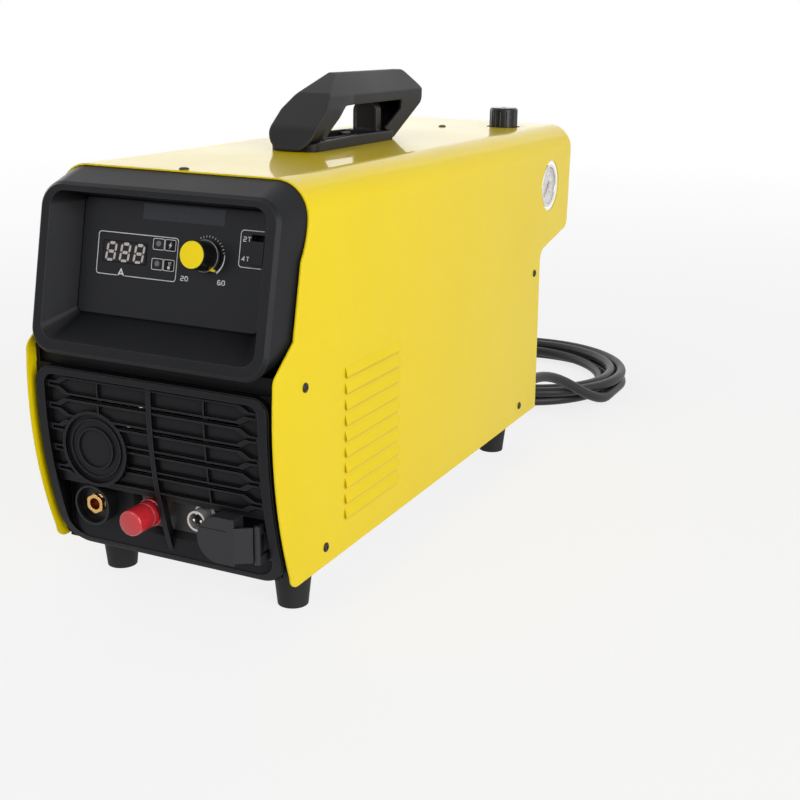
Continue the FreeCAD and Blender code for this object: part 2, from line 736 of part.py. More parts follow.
def pocket():
    """Sunk field for the output connectors, with a slope-sided window to the connector plate."""
    reach = frame_half - frame_side_rim
    low = frame_bottom + frame_rim
    back = block(-reach - 3, reach + 3, pocket_y, pocket_y + wall, low - 2, pocket_top + 2)
    roof = block(-reach - 3, reach + 3, face_y(pocket_top, field_y) + 0.5, pocket_y + wall,
                 pocket_top, pocket_top + 2.4)
    pad = block(window_left - 9, window_right + 9, pocket_y, plate_back_y, window_bottom - 8, pocket_top + 2)
    slope = 5.0
    x0, x1 = window_left - slope, window_right + slope
    low_edge = window_bottom - slope
    corners = [(x0, low_edge), (x1, low_edge), (x1, window_top), (x0, window_top), (x0, low_edge)]
    wide = Part.makePolygon([at(x, pocket_y - 0.01, z) for x, z in corners])
    x0, x1, low_edge = window_left, window_right, window_bottom
    corners = [(x0, low_edge), (x1, low_edge), (x1, window_top), (x0, window_top), (x0, low_edge)]
    tight = Part.makePolygon([at(x, plate_back_y + 0.01, z) for x, z in corners])
    hole = plate_loft([wide, tight])
    body = fused([back, roof, pad]).cut(hole)
    holes = [ahead(socket_x, pocket_y - 1, socket_z, socket_thread_r + 0.3, 10),
             ahead(stud_x, pocket_y - 1, stud_z, stud_r + 0.3, 10)]
    return body.cut(holes)


def lower_frame():
    outer = rounded_y(-frame_half, frame_half, frame_bottom, frame_top, frame_low_r, frame_r, -20, 60)
    edge = rounded_y(-frame_half + 1, frame_half - 1, frame_bottom + 1, frame_top - 1, frame_low_r - 1,
                     frame_r - 1, -20, 60)
    reach = frame_half - frame_side_rim
    inner = rounded_y(-reach, reach, frame_bottom + frame_rim, frame_top - frame_rim,
                      frame_low_r - 6, frame_r - 5, -30, 70)
    rim = strip(1.0, 14, -frame_half, frame_half, frame_top, frame_bottom).common(outer).cut(inner)
    lip = strip(0, 1.4, -frame_half, frame_half, frame_top - 1, frame_bottom + 1).common(edge).cut(inner)
    sides = inside - seat
    flange = strip(7, 10, -sides, sides, frame_top, frame_bottom + 2).cut(inner)
    return fused([rim, lip, flange])


def side_wings():
    sides = inside - seat
    over_tray = base_z + tray_wall + 1
    outline = [(7, groove_top + 2), (tuck, groove_top + 2), (tuck, over_tray), (tray_y0 - 2 * seat, over_tray),
               (tray_y0 - 2 * seat, base_z + 5), (32, base_z + 5), (24, -135), (12, -95), (8, -50)]
    wings = [prism_x(outline, s * sides - (wall if s > 0 else 0), s * sides + (0 if s > 0 else wall))
             for s in (1, -1)]
    groove = block(-sides, sides, groove_y, groove_y + groove_wall, groove_bottom - 3, groove_top + 1)
    return wings + [groove]


def front_panel():
    body = hood().fuse([lower_frame()] + side_wings())
    inside_field = [grille(), pocket()]
    body = body.fuse(inside_field)
    posts = [plate_rod(x, v, post_r, -board_out, -2.0) for x, v in board_posts]
    body = body.fuse(posts)
    cuts = floor_openings(-6, 2)
    for y, z in side_screws[:1]:
        cuts.append(across(-half, y, z, screw_r + tap_gap, width))
    cuts.append(upright(top_screws[0][0], top_screws[0][1], deck_z - 26, screw_r + tap_gap, 40))
    return body.cut(cuts)


# controls

def control_plate():
    wire = plate_wire(floor_half - 0.4, 0.4, floor_top - 0.8, floor_r, 0)
    a = math.radians(lean)
    body = Part.Face(wire).extrude(V(0, -math.cos(a) * plate_thick, math.sin(a) * plate_thick))
    return body.cut(floor_openings(-1, 3))


def current_display():
    """Three-figure lamp display: its face shows in the plate, its body stands on the board."""
    c = 0.15
    face = plate_box(window_x0 + c, window_x1 - c, window_v0 + c, window_v1 - c, -board_out, plate_thick + 0.4)
    return face


def indicator_lamps():
    bodies = []
    for v in led_vs:
        stem = plate_rod(led_x, v, led_r, -board_out, plate_thick + 0.2)
        foot = plate_rod(led_x, v, led_r + 0.6, -board_out, -board_out + 3)
        bodies.append(stem.fuse(foot))
    return Part.makeCompound(bodies)


def control_board():
    body = plate_box(board_x0, board_x1, board_v0, board_v1, -board_out - board_t, -board_out)
    return body.cut([plate_rod(knob_x, knob_v, shaft_r + 1, -board_out - 5, -board_out + 1)])


def potentiometer():
    can = plate_rod(knob_x, knob_v, can_r, -board_out, can_front)
    bush = plate_rod(knob_x, knob_v, bush_r + 0.4, can_front, plate_thick)
    bore = plate_rod(knob_x, knob_v, shaft_r + turning, -board_out + 1.5, 10)
    return can.fuse(bush).cut(bore)


def potentiometer_shaft():
    return plate_rod(knob_x, knob_v, shaft_r, -board_out + 2, knob_len - 4)


def current_knob():
    base = plate_thick + 0.6
    skirt = plate_rod(knob_x, knob_v, knob_r, base, base + knob_skirt)
    cone = leaning(Part.makeCone(knob_top_r + 0.7, knob_top_r, knob_len - base - knob_skirt,
                                 V(knob_x, -base - knob_skirt, knob_v), V(0, -1, 0)))
    bore = plate_rod(knob_x, knob_v, shaft_r + turning, base - 1, knob_len - 4)
    seat_cut = plate_rod(knob_x, knob_v, cap_disc_r + turning, knob_len - 0.8, knob_len + 1)
    return skirt.fuse(cone).cut([bore, seat_cut])


def knob_cap():
    return plate_rod(knob_x, knob_v, cap_disc_r, knob_len - 0.8, knob_len + cap_disc_t - 0.8)


def mode_switch():
    """Slide-switch housing on the board, open toward the slot in the plate."""
    w, h = switch_w / 2, switch_h / 2
    c = 2 * switch_slack / 3
    t = switch_wall
    case = plate_box(switch_x - w - t, switch_x + w + t, switch_v - h - t, switch_v + h + t,
                     -board_out, can_front)
    room = plate_box(switch_x - w + c, switch_x + w - c, switch_v - h + c, switch_v + h - c,
                     -switch_depth, 0)
    return case.cut(room)


def mode_slider():
    w, h = switch_w / 2 - switch_slack, switch_h / 2 - switch_slack
    return plate_box(switch_x - w, switch_x + w, switch_v - h, switch_v + h - switch_travel,
                     -switch_depth + 0.1, plate_thick + 0.3)


# output connectors

def output_socket():
    cup = ahead(socket_x, socket_front_y, socket_z, socket_r, pocket_y - socket_front_y)
    thread = ahead(socket_x, pocket_y - 1, socket_z, socket_thread_r, 14)
    hollow = ahead(socket_x, socket_front_y - 1, socket_z, socket_cup_r, socket_face_y - socket_front_y + 1)
    hole = ahead(socket_x, socket_front_y - 1, socket_z, contact_r + 0.05, 40)
    return cup.fuse(thread).cut([hollow, hole])


def output_contact():
    outer = ahead(socket_x, contact_front_y, socket_z, contact_r, contact_len)
    flats = hexagon(socket_x, socket_z, contact_r * 1.86, contact_front_y - 1, contact_front_y + 3.4)
    nose = ahead(socket_x, contact_front_y, socket_z, contact_r, 3.4).common(flats)
    outer = outer.cut(ahead(socket_x, contact_front_y - 1, socket_z, contact_r + 1, 4.4)).fuse(nose)
    bore = ahead(socket_x, contact_front_y - 1, socket_z, contact_bore_r, contact_len - 6)
    return outer.cut(bore)


def panel_nut():
    back = pocket_y + wall
    nut = hexagon(socket_x, socket_z, socket_nut_r * 1.8, back, back + panel_nut_t)
    return nut.cut(ahead(socket_x, back - 1, socket_z, socket_thread_r + 0.05, panel_nut_t + 2))


def connector_plate():
    body = block(window_left - 8, window_right + 8, plate_back_y, plate_back_y + plate_t,
                 window_bottom - 7, pocket_top + 1)
    return body.cut([ahead(gas_x, plate_back_y - 1, gas_z, gas_thread_r + 0.1, 4),
                     ahead(signal_x, plate_back_y - 1, signal_z, signal_r + 0.1, 4),
                     ahead(stud_x, plate_back_y - 1, stud_z, stud_r + 2.5, 4)])


def torch_fitting():
    front = cap_front_y + cap_wall + 0.8
    thread = ahead(gas_x, front, gas_z, gas_thread_r - 0.9, plate_back_y - front)
    body = ahead(gas_x, plate_back_y - 1, gas_z, gas_thread_r, 18)
    shoulder = hexagon(gas_x, gas_z, gas_hex, plate_back_y - 4, plate_back_y)
    nut = hexagon(gas_x, gas_z, gas_hex, plate_back_y + plate_t, plate_back_y + plate_t + 4)
    bore = ahead(gas_x, front - 1, gas_z, gas_bore_r, 60)
    return fused([thread, body, shoulder, nut]).cut(bore)


def torch_cap():
    body = ahead(gas_x, cap_front_y, gas_z, cap_r, cap_len)
    flange = ahead(gas_x, cap_front_y + cap_len, gas_z, cap_flange_r, cap_flange)
    hollow = ahead(gas_x, cap_front_y + cap_wall, gas_z, gas_thread_r - 0.9 + 0.1, 60)
    edge = Part.makeCone(cap_r - 0.8, cap_r + 0.2, 1.0, at(gas_x, cap_front_y, gas_z), V(0, 1, 0))
    body = body.cut(ahead(gas_x, cap_front_y, gas_z, cap_r + 1, 1.0)).fuse(edge.common(body))
    return body.fuse(flange).cut(hollow)


def signal_shell():
    barrel = ahead(signal_x, signal_front_y, signal_z, signal_r, plate_back_y + 10 - signal_front_y)
    collar = ahead(signal_x, plate_back_y - 6, signal_z, signal_flange_r, 6)
    nut = hexagon(signal_x, signal_z, signal_r * 2.4, plate_back_y + plate_t, plate_back_y + plate_t + 3)
    hollow = ahead(signal_x, signal_front_y - 1, signal_z, signal_bore_r, 60)
    key = block(signal_x - 0.8, signal_x + 0.8, signal_front_y, signal_front_y + 8,
                signal_z + signal_bore_r - 0.9, signal_z + signal_bore_r + 0.4)
    return fused([barrel, collar, nut]).cut(hollow).fuse(key)


def signal_insert():
    face = signal_front_y + 7
    body = ahead(signal_x, face, signal_z, signal_bore_r - 0.05, 22)
    slot = block(signal_x - 1.1, signal_x + 1.1, face - 1, face + 1.2, signal_z + signal_bore_r - 1.3,
                 signal_z + signal_bore_r + 1)
    holes = [ahead(signal_x + s * signal_pin_gap / 2, face - 1, signal_z, signal_pin_r, 30) for s in (-1, 1)]
    return body.cut(holes + [slot])


def signal_pins():
    return Part.makeCompound([ahead(signal_x + s * signal_pin_gap / 2, signal_front_y + 1.5, signal_z,
                                    signal_pin_r, 32) for s in (-1, 1)])


def pilot_terminal():
    shank = ahead(stud_x, pocket_y - 8, stud_z, stud_r, 26)
    collar = ahead(stud_x, pocket_y - 2, stud_z, stud_r + 3, 2)
    nut = hexagon(stud_x, stud_z, 13.0, pocket_y - 6.5, pocket_y - 2)
    return fused([shank, collar, nut])


def lid_outline(inset):
    """D-shaped front: round to the left, straight at the hinge side."""
    mid = (lid_top + lid_bottom) / 2
    r = (lid_top - lid_bottom) / 2 - inset
    cx = lid_left + (lid_top - lid_bottom) / 2
    return mid, r, cx, lid_right - inset


def lid_prism(inset, y0, y1):
    mid, r, cx, right = lid_outline(inset)
    edges = [Part.Arc(at(cx, y0, mid + r), at(cx - r, y0, mid), at(cx, y0, mid - r)).toShape(),
             Part.LineSegment(at(cx, y0, mid - r), at(right, y0, mid - r)).toShape(),
             Part.LineSegment(at(right, y0, mid - r), at(right, y0, mid + r)).toShape(),
             Part.LineSegment(at(right, y0, mid + r), at(cx, y0, mid + r)).toShape()]
    return Part.Face(Part.Wire(edges)).extrude(V(0, y1 - y0, 0))


def terminal_cover():
    shell = lid_prism(0, lid_front_y, lid_front_y + lid_depth)
    shell = shell.cut(lid_prism(lid_t, lid_front_y + lid_t, lid_front_y + lid_depth + 1))
    cheek = prism_z([(lid_right - 0.5, lid_front_y), (lid_right, lid_front_y), (hinge_x - hinge_r, hinge_y - 2.2),
                     (hinge_x - hinge_r + 0.6, hinge_y + 0.8), (lid_right - 0.5, lid_front_y + lid_t)],
                    hinge_bottom + 1, hinge_top - 1)
    seam = block(lid_left + 2, lid_right - 5, lid_front_y - 1, lid_front_y + 0.5, lid_top - 9.6, lid_top - 8.8)
    middle = upright(hinge_x, hinge_y, hinge_bottom + knuckle + 0.2, hinge_r,
                     hinge_top - hinge_bottom - 2 * knuckle - 0.4)
    gaps = [upright(hinge_x, hinge_y, hinge_top - knuckle - 0.2, hinge_r + 0.5, knuckle + 2),
            upright(hinge_x, hinge_y, hinge_bottom - 2, hinge_r + 0.5, knuckle + 2.2)]
    bore = upright(hinge_x, hinge_y, hinge_bottom - 1, hinge_pin_r + 0.06, hinge_top - hinge_bottom + 2)
    return shell.fuse([cheek, middle]).cut(gaps + [bore, seam])


def cover_bracket():
    plate = block(hinge_x - 1.5, hinge_x + 5.5, pocket_y - 2.4, pocket_y, hinge_bottom - 1, hinge_top + 1)
    arms = []
    for z0 in (hinge_bottom, hinge_top - knuckle):
        arms.append(upright(hinge_x, hinge_y, z0, hinge_r, knuckle))
        arms.append(block(hinge_x - hinge_r * 0.2, hinge_x + hinge_r, hinge_y, pocket_y - 1, z0, z0 + knuckle))
    bore = upright(hinge_x, hinge_y, hinge_bottom - 1, hinge_pin_r, hinge_top - hinge_bottom + 2)
    return fused([plate] + arms).cut(bore)


def cover_pin():
    return upright(hinge_x, hinge_y, hinge_bottom, hinge_pin_r, hinge_top - hinge_bottom)


# handle

def rear_ear(grow):
    """Rounded tongue of the base that the grip's hollow rear arm drops over."""
    z = deck_z + trough_floor
    top = deck_z + ear_h + grow
    w = ear_half + grow
    outline = mirrored([(w, z, 0), (w, top, ear_r)])
    return soft_prism_y(outline, ear_y - grow, ear_y + ear_t + grow)


def front_ear(grow):
    """Leaning tongue of the base inside the grip's front arm."""
    low, high = deck_z + base_h - 2.0, deck_z + ear_h + grow
    y0, y1 = base_front + front_ear_in, base_front + front_ear_in + front_ear_run
    side = [(y0 - grow, low), (y0 + ear_t + grow, low), (y1 + ear_t + grow, high), (y1 - grow, high)]
    return prism_x(side, -ear_half - grow, ear_half + grow)


def handle_base():
    z = deck_z
    front, rear = base_front, base_front + base_len
    side = [(front, z, 0), (rear, z, 0), (rear, z + base_h, 0),
            (front + 0.55 * base_len, z + base_h + base_crown, 90.0),
            (front + 10.0, z + base_h, 6.0), (front, z + base_h - 2.0, 2.0)]
    plan = [(base_half, front, 8.0), (base_half, rear, 3.0),
            (-base_half, rear, 3.0), (-base_half, front, 8.0)]
    body = soft_prism_x(side, -base_half, base_half).common(soft_prism_z(plan, z - 1, z + 30))
    inner = base_half - trough_wall
    trough_y = front + trough_in
    trough = soft_prism_z([(inner, trough_y, 7.0), (inner, ear_y, 3.0),
                           (-inner, ear_y, 3.0), (-inner, trough_y, 7.0)],
                          z + trough_floor, z + 30)
    gap = 2 * inner / (trough_ribs + 1)
    ribs = []
    for i in range(trough_ribs):
        x = -inner + gap * (i + 1)
        ribs.append(block(x - rib_half, x + rib_half, trough_y - 1, ear_y + 1,
                          z + trough_floor - 0.5, z + trough_floor + trough_rib_h))
    flat_half = ear_half - dish_in
    flat = mirrored([(flat_half, z + base_h + 1.5, 2.0), (flat_half, z + ear_h - dish_in, ear_r - dish_in)])
    dish = soft_prism_y(flat, ear_y - 1, ear_y + dish_deep)
    body = body.cut(trough).fuse(ribs + [front_ear(0), rear_ear(0).cut(dish)])
    places = [(x, y) for y in handle_bolt_ys for x in (-handle_bolt_x, handle_bolt_x)]
    bosses = [upright(x, y, z, bolt_r + bolt_boss, base_h - 1.2) for x, y in places]
    holes = [upright(x, y, z - 1, bolt_r, base_h - 1) for x, y in places]
    return body.fuse(bosses).cut(holes)


def grip_side():
    """Side outline of the grip: pad, front arm, crown, tail and rear arm, then back under the hand."""
    f, z = base_front, deck_z
    rear = f + base_len
    foot, under = z + base_h + grip_gap, z + grip_under
    upper = [(f - pad_toe, z + toe_z, 1.5), (f + pad_knee_y, z + pad_knee_z, 22.0),
             (f + shoulder_y, z + shoulder_z, 9.0), (f + crown_y0, z + grip_top, 4.0),
             (f + crown_y1, z + grip_top - 0.5, 12.0), (f + tail_y, z + tail_z1, 9.0),
             (f + tail_y, z + tail_z0, 8.0)]
    lower = [(rear + arm_in, z + arm_low, 1.0), (rear + grip_gap, z + arm_low, 0), (rear + grip_gap, foot, 0),
             (rear - arm_in, foot, 1.5), (f + gap_y1, z + gap_rear_z, 5.0), (f + gap_y1, under, 0),
             (f + gap_y0, under, 9.0), (f + arm_knee_y, z + arm_knee_z, 5.0), (f + heel_y, foot, 1.0),
             (f - grip_gap, foot, 0), (f - 2.5, z + toe_z, 0.5)]
    return upper + lower


def handle_grip():
    f, z = base_front, deck_z
    rear, end = f + base_len, f + tail_y + 20
    section = mirrored([(pad_half, z - 2, 0), (pad_half, z + pad_high, 6.0), (grip_half, z + flank_high, 3.0),
                        (ridge_half, z + grip_top + 0.6, 1.2)])
    plan = mirrored([(pad_half, f - 20, 0), (pad_half, f + pad_run, 14.0), (grip_half, f + taper_run, 14.0),
                     (grip_half, end, 0)])
    body = soft_prism_x(grip_side(), -pad_half - 3, pad_half + 3)
    body = body.common(soft_prism_y(section, f - 20, end)).common(soft_prism_z(plan, z - 5, z + 80))
    lobe = soft_prism_y(mirrored([(pad_half, z + 0.5, pad_half - 3.0), (pad_half, z + 60, 0)]),
                        f - 30, f + lobe_run + 1)
    body = body.cut(block(-40, 40, f - 20, f + lobe_run, z - 1, z + lobe_high).cut(lobe))
    back, under = f + tail_y - arm_wall, z + grip_under
    hollow = prism_x([(rear - 14.0, z - 1), (rear - 2.3, z - 1), (back, z + 31.8), (back, z + arm_room_z - 2.0),
                      (back - 2.5, z + arm_room_z), (f + gap_y1 + 4.0, z + arm_room_z), (f + gap_y1 + 4.0, under),
                      (f + gap_y1 - 23.0, under)], -hollow_half, hollow_half)
    return body.cut([front_ear(ear_slack), hollow]).removeSplitter()


def handle_screws():
    bodies = []
    for y in handle_bolt_ys:
        for x in (-handle_bolt_x, handle_bolt_x):
            shank = upright(x, y, deck_z - sheet - 2, bolt_r - 0.05, sheet + 2 + base_h - 3)
            bodies.append(shank.fuse(upright(x, y, deck_z - sheet - 4.2, bolt_r + 2.2, 3.2 + 0.9)))
    return Part.makeCompound(bodies)


# air regulator in its bay

def regulator_body():
    lump = block(reg_x - reg_half, reg_x + reg_half, reg_y - reg_half, reg_y + reg_half,
                 reg_z - reg_half, reg_top)
    edges = [e for e in lump.Edges if abs(e.tangentAt(e.FirstParameter).z) > 0.9]
    lump = lump.makeChamfer(reg_edge, edges)
    neck = upright(reg_x, reg_y, reg_top - 1, 11.5, 3.0)
    outlet = ahead(reg_x, panel_y - 6, reg_z, 6.3, reg_y - reg_half - panel_y + 8)
    ports = [ahead(reg_x, reg_y + reg_half - 10, reg_z, 5.0, 12),
             ahead(reg_x, panel_y - 8, reg_z, 3.0, 24),
             across(reg_x + reg_half - 8, reg_y, gauge_z, 4.05, 10)]
    return fused([lump, neck, outlet]).cut(ports)


def regulator_bracket():
    low = reg_top + bracket_gap
    front = panel_y + plate_t
    arm = block(reg_x - bracket_half, reg_x + bracket_half, front, reg_y + 17, low, low + bracket_t)
    back = block(reg_x - bracket_half, reg_x + bracket_half, front, front + bracket_t, low, low + 17.8)
    holes = [upright(reg_x, reg_y, low - 1, 11.8, bracket_t + 2)]
    for x in (-bracket_bolt_x, bracket_bolt_x):
        holes.append(ahead(reg_x + x, panel_y, bracket_bolt_z, bracket_bolt_r + 2 * tap_gap, 6))
    return arm.fuse(back).cut(holes)


def bracket_screws():
    bodies = []
    for x in (-bracket_bolt_x, bracket_bolt_x):
        shank = ahead(reg_x + x, panel_y - 5, bracket_bolt_z, bracket_bolt_r, plate_t + bracket_t + 5)
        head = ahead(reg_x + x, panel_y + plate_t + bracket_t, bracket_bolt_z, 3.6, 2.0)
        bodies.append(shank.fuse(head))
    return bodies


def regulator_bonnet():
    dome = upright(reg_x, reg_y, bonnet_low, bonnet_r, bonnet_top - bonnet_low)
    return dome.cut(upright(reg_x, reg_y, bonnet_low - 1, 5.0, bonnet_top - bonnet_low - 3))


def adjusting_nut():
    body = upright(reg_x, reg_y, bonnet_top + 0.15, nut_r, nut_top - bonnet_top - 0.15)
    return body


def regulator_knob():
    top = deck_z + reg_knob_top
    body = upright(reg_x, reg_y, knob_low, reg_knob_r, top - knob_low - 1.6)
    crown = Part.makeCone(reg_knob_r, reg_knob_r - 1.6, 1.6, at(reg_x, reg_y, top - 1.6))
    dimple = upright(reg_x, reg_y, top - 1.2, 2.6, 3)
    bore = upright(reg_x, reg_y, knob_low - 1, nut_r + 0.08, nut_top + reg_lift + 2.5 - knob_low)
    grooves = [upright(reg_x + (reg_knob_r + 0.5) * math.cos(math.radians(a)),
                       reg_y + (reg_knob_r + 0.5) * math.sin(math.radians(a)), knob_low + 14, 1.1, 26)
               for a in range(0, 360, 20)]
    return body.fuse(crown).cut([dimple, bore] + grooves)


def filter_bowl():
    top = reg_z - reg_half
    cup = upright(reg_x, reg_y, bowl_low + 4, bowl_r, top - bowl_low - 4)
    foot = Part.makeCone(bowl_r - 5, bowl_r, 4.0, at(reg_x, reg_y, bowl_low))
    drain = upright(reg_x, reg_y, bowl_low - 9, 3.2, 10)
    collar = upright(reg_x, reg_y, top - 7, bowl_r + 2.2, 7)
    hollow = upright(reg_x, reg_y, bowl_low + 6, bowl_r - bowl_wall, top - bowl_low)
    return fused([cup, foot, drain, collar]).cut(hollow)


def gauge_case():
    back = inside - gauge_depth
    case = across(back, reg_y, gauge_z, gauge_r - 1.4, gauge_depth - 4.5)
    stem = across(reg_x + reg_half - 6, reg_y, gauge_z, 4.0, back - reg_x - reg_half + 7)
    hexed = across(back - 6, reg_y, gauge_z, 7.0, 6)
    room = across(back + 2.5, reg_y, gauge_z, gauge_r - gauge_bezel, gauge_depth)
    bezel = across(inside - 5.5, reg_y, gauge_z, gauge_r, 5.5)
    return fused([case, stem, hexed, bezel]).cut(room)


def gauge_dial():
    back = inside - gauge_depth + 2.5
    plate = across(back, reg_y, gauge_z, gauge_r - gauge_bezel - 0.1, dial_x - back)
    pivot = across(dial_x - 0.2, reg_y, gauge_z, 0.8, 1.6)
    return plate.fuse(pivot)


def gauge_needle():
    hub = across(dial_x + 0.35, reg_y, gauge_z, 2.2, 0.9)
    near, far = needle_len * 0.70, needle_len * 0.73
    pointer = prism_x([(reg_y + 4.4, gauge_z + 2.4), (reg_y - near, gauge_z - far),
                       (reg_y - far, gauge_z - near), (reg_y + 2.4, gauge_z + 4.4)],
                      dial_x + 0.5, dial_x + 1.0)
    bore = across(dial_x, reg_y, gauge_z, 0.86, 3)
    return hub.fuse(pointer).cut(bore)


def gauge_lens():
    return across(inside - 1.6, reg_y, gauge_z, gauge_r - gauge_bezel - 0.05, 1.2)


def air_inlet():
    """Quick-connect plug: thread, hexagon, neck, collar and plain tip."""
    y = reg_y + reg_half
    thread = ahead(reg_x, y - 8, reg_z, 4.95, 9)
    hexed = hexagon(reg_x, reg_z, inlet_hex, y, y + inlet_hex_t)
    neck = ahead(reg_x, y + inlet_hex_t, reg_z, inlet_neck_r, inlet_neck)
    collar = ahead(reg_x, y + inlet_hex_t + inlet_neck, reg_z, inlet_collar_r, inlet_collar)
    tip = ahead(reg_x, y + inlet_hex_t + inlet_neck + inlet_collar, reg_z, inlet_tip_r, inlet_tip)
    bore = ahead(reg_x, y - 10, reg_z, 2.6, 50)
    return fused([thread, hexed, neck, collar, tip]).cut(bore)


def solenoid_valve():
    body = block(reg_x - 13, reg_x + 13, panel_y - 40, panel_y - 8, reg_z - 12, reg_z + 12)
    coil = upright(reg_x, panel_y - 26, reg_z + 12, 12.0, 26)
    neck = ahead(reg_x, panel_y - 8, reg_z, 8.5, 8)
    barb = ahead(reg_x, panel_y - 50, reg_z, 3.5, 11)
    room = ahead(reg_x, panel_y - 8, reg_z, 6.4, 10)
    return fused([body, coil, neck, barb]).cut(room)


# fan, breaker, gland

def fan_frame():
    h = fan_size / 2
    y0, y1 = panel_y - fan_t, panel_y
    frame = block(fan_x - h, fan_x + h, y0, y1, fan_z - h, fan_z + h)
    frame = frame.cut(ahead(fan_x, y0 - 1, fan_z, fan_bore_r, fan_t + 2))
    struts = [block(fan_x - h + 2, fan_x + h - 2, y0, y0 + 3, fan_z - 2, fan_z + 2),
              block(fan_x - 2, fan_x + 2, y0, y0 + 3, fan_z - h + 2, fan_z + h - 2)]
    motor = ahead(fan_x, y0, fan_z, hub_r - 1, 4)
    spindle = ahead(fan_x, y0 + 3, fan_z, 2.0, 14)
    holes = [ahead(x, y0 - 1, z, fan_bolt_r + 2 * tap_gap, fan_t + 2) for x, z in fan_bolts()]
    return fused([frame, motor, spindle] + struts).cut(holes)


def fan_rotor():
    y0 = panel_y - fan_t + 4.4
    y1 = panel_y - rotor_back
    hub = ahead(fan_x, y0, fan_z, hub_r, y1 - y0)
    vanes = []
    for i in range(blades):
        vane = Part.makeBox(1.6, y1 - y0 + 6, fan_bore_r - 1.6 - hub_r + 2,
                            V(-0.8, -(y1 - y0 + 6) / 2, hub_r - 2))
        vane.rotate(V(0, 0, 0), V(0, 0, 1), 38)
        vane.rotate(V(0, 0, 0), V(0, 1, 0), 360 / blades * i)
        vane.translate(at(fan_x, (y0 + y1) / 2, fan_z))
        vanes.append(vane)
    room = ahead(fan_x, y0 + 0.6, fan_z, fan_bore_r - 1.6, y1 - y0 - 1.2)
    disc = hub.fuse([v.common(room) for v in vanes])
    return disc.cut(ahead(fan_x, y0 - 1, fan_z, 2.06, 14.5))


def fan_guard():
    """Moulded rings on four legs, standing off the panel."""
    y0 = panel_y + plate_t
    y1 = y0 + guard_gap
    rings = [ring_y(fan_x, fan_z, r + guard_w, r - guard_w, y1, y1 + guard_t) for r in guard_rings]
    bars = []
    reach = fan_bolt_gap * math.sqrt(2)
    for turn in (45, 135):
        bar = Part.makeBox(2 * reach, guard_t, 2 * guard_w, V(-reach, 0, -guard_w))
        bar.rotate(V(0, 0, 0), V(0, 1, 0), turn)
        bar.translate(at(fan_x, y1, fan_z))
        bars.append(bar)
    pads = [ahead(x, y0, z, guard_pad_r, guard_gap + guard_t) for x, z in fan_bolts()]
    holes = [ahead(x, y0 - 1, z, fan_bolt_r + 2 * tap_gap, guard_gap + guard_t + 2) for x, z in fan_bolts()]
    return fused(rings + bars + pads).cut(holes)


def fan_screws():
    bodies = []
    stack = plate_t + guard_gap + guard_t
    for x, z in fan_bolts():
        shank = ahead(x, panel_y - fan_t + 4, z, fan_bolt_r, fan_t - 4 + stack)
        head = ahead(x, panel_y + stack, z, screw_head_r, screw_head_t)
        bodies.append(shank.fuse(head))
    return bodies


def machine_screws():
    return Part.makeCompound(cover_screws() + foot_screws() + bracket_screws() + fan_screws())


def breaker():
    w = breaker_w / 2
    body = block(breaker_x - w, breaker_x + w, panel_y - 48, panel_y - 0.2, breaker_z - 40, breaker_z + 40)
    h = breaker_h / 2
    nose = block(breaker_x - w, breaker_x + w, panel_y - 1, panel_y + breaker_nose,
                 breaker_z - h, breaker_z + h)
    slot = block(breaker_x - 8, breaker_x + 8, panel_y - 4, panel_y + breaker_nose + 1,
                 breaker_z - 13, breaker_z + 13)
    sides = [across(breaker_x - 12, lever_y, breaker_z, 1.5, 24)]
    return body.fuse(nose).cut(slot).cut(sides)


def breaker_lever():
    drum = across(breaker_x - 7.7, lever_y, breaker_z, 6.2, 15.4)
    pin = across(breaker_x - 10.5, lever_y, breaker_z, 1.42, 21)
    arm = prism_x([(lever_y, breaker_z - 2.2), (lever_y + 16, breaker_z + 5.6), (lever_y + 14.4, breaker_z + 9.4),
                   (lever_y, breaker_z + 4.4)], breaker_x - 6.5, breaker_x + 6.5)
    return fused([drum, pin, arm])


def cable_gland():
    y = panel_y + plate_t
    flange = ahead(gland_x, y, gland_z, 12.5, 3.0)
    sleeve = Part.makeCone(10.0, cord_r + 1.8, gland_len - 3, at(gland_x, y + 3, gland_z), V(0, 1, 0))
    inner = ahead(gland_x, panel_y - 6, gland_z, gland_bore_r - 0.2, 7 + plate_t)
    nut = ahead(gland_x, panel_y - 5, gland_z, 13.0, 4.8)
    return fused([flange, sleeve, inner, nut])


# mains lead

def corner_arc(a, q, b):
    """Arc from a to b whose end tangents meet at q, equally far from both."""
    middle = (a + b) * 0.5
    chord = (b - a).Length
    turn = (q - a).getAngle(b - q)
    rise = q - middle
    rise.normalize()
    return Part.Arc(a, middle + rise * (chord / 2 * math.tan(turn / 4)), b).toShape()


def tube(edges, r):
    wire = Part.Wire(edges)
    start = edges[0].valueAt(edges[0].FirstParameter)
    heading = edges[0].tangentAt(edges[0].FirstParameter)
    ring = Part.Wire([Part.makeCircle(r, start, heading)])
    body = wire.makePipeShell([ring], True, False)
    share = body.Volume / (math.pi * r * r * wire.Length)
    print("tube length", round(wire.Length, 1), "volume share", round(share, 4))
    return body


def bent_route(points, share):
    edges = []
    here = points[0]
    for i in range(1, len(points) - 1):
        before, corner, after = points[i - 1], points[i], points[i + 1]
        back = before - corner
        out = after - corner
        reach = share * min(back.Length, out.Length)
        turn = math.pi - back.getAngle(out)
        print("bend radius", round(reach / math.tan(turn / 2), 1))
        back.normalize()
        out.normalize()
        a = corner + back * reach
        b = corner + out * reach
        edges.append(Part.LineSegment(here, a).toShape())
        edges.append(corner_arc(a, corner, b))
        here = b
    edges.append(Part.LineSegment(here, points[-1]).toShape())
    return edges


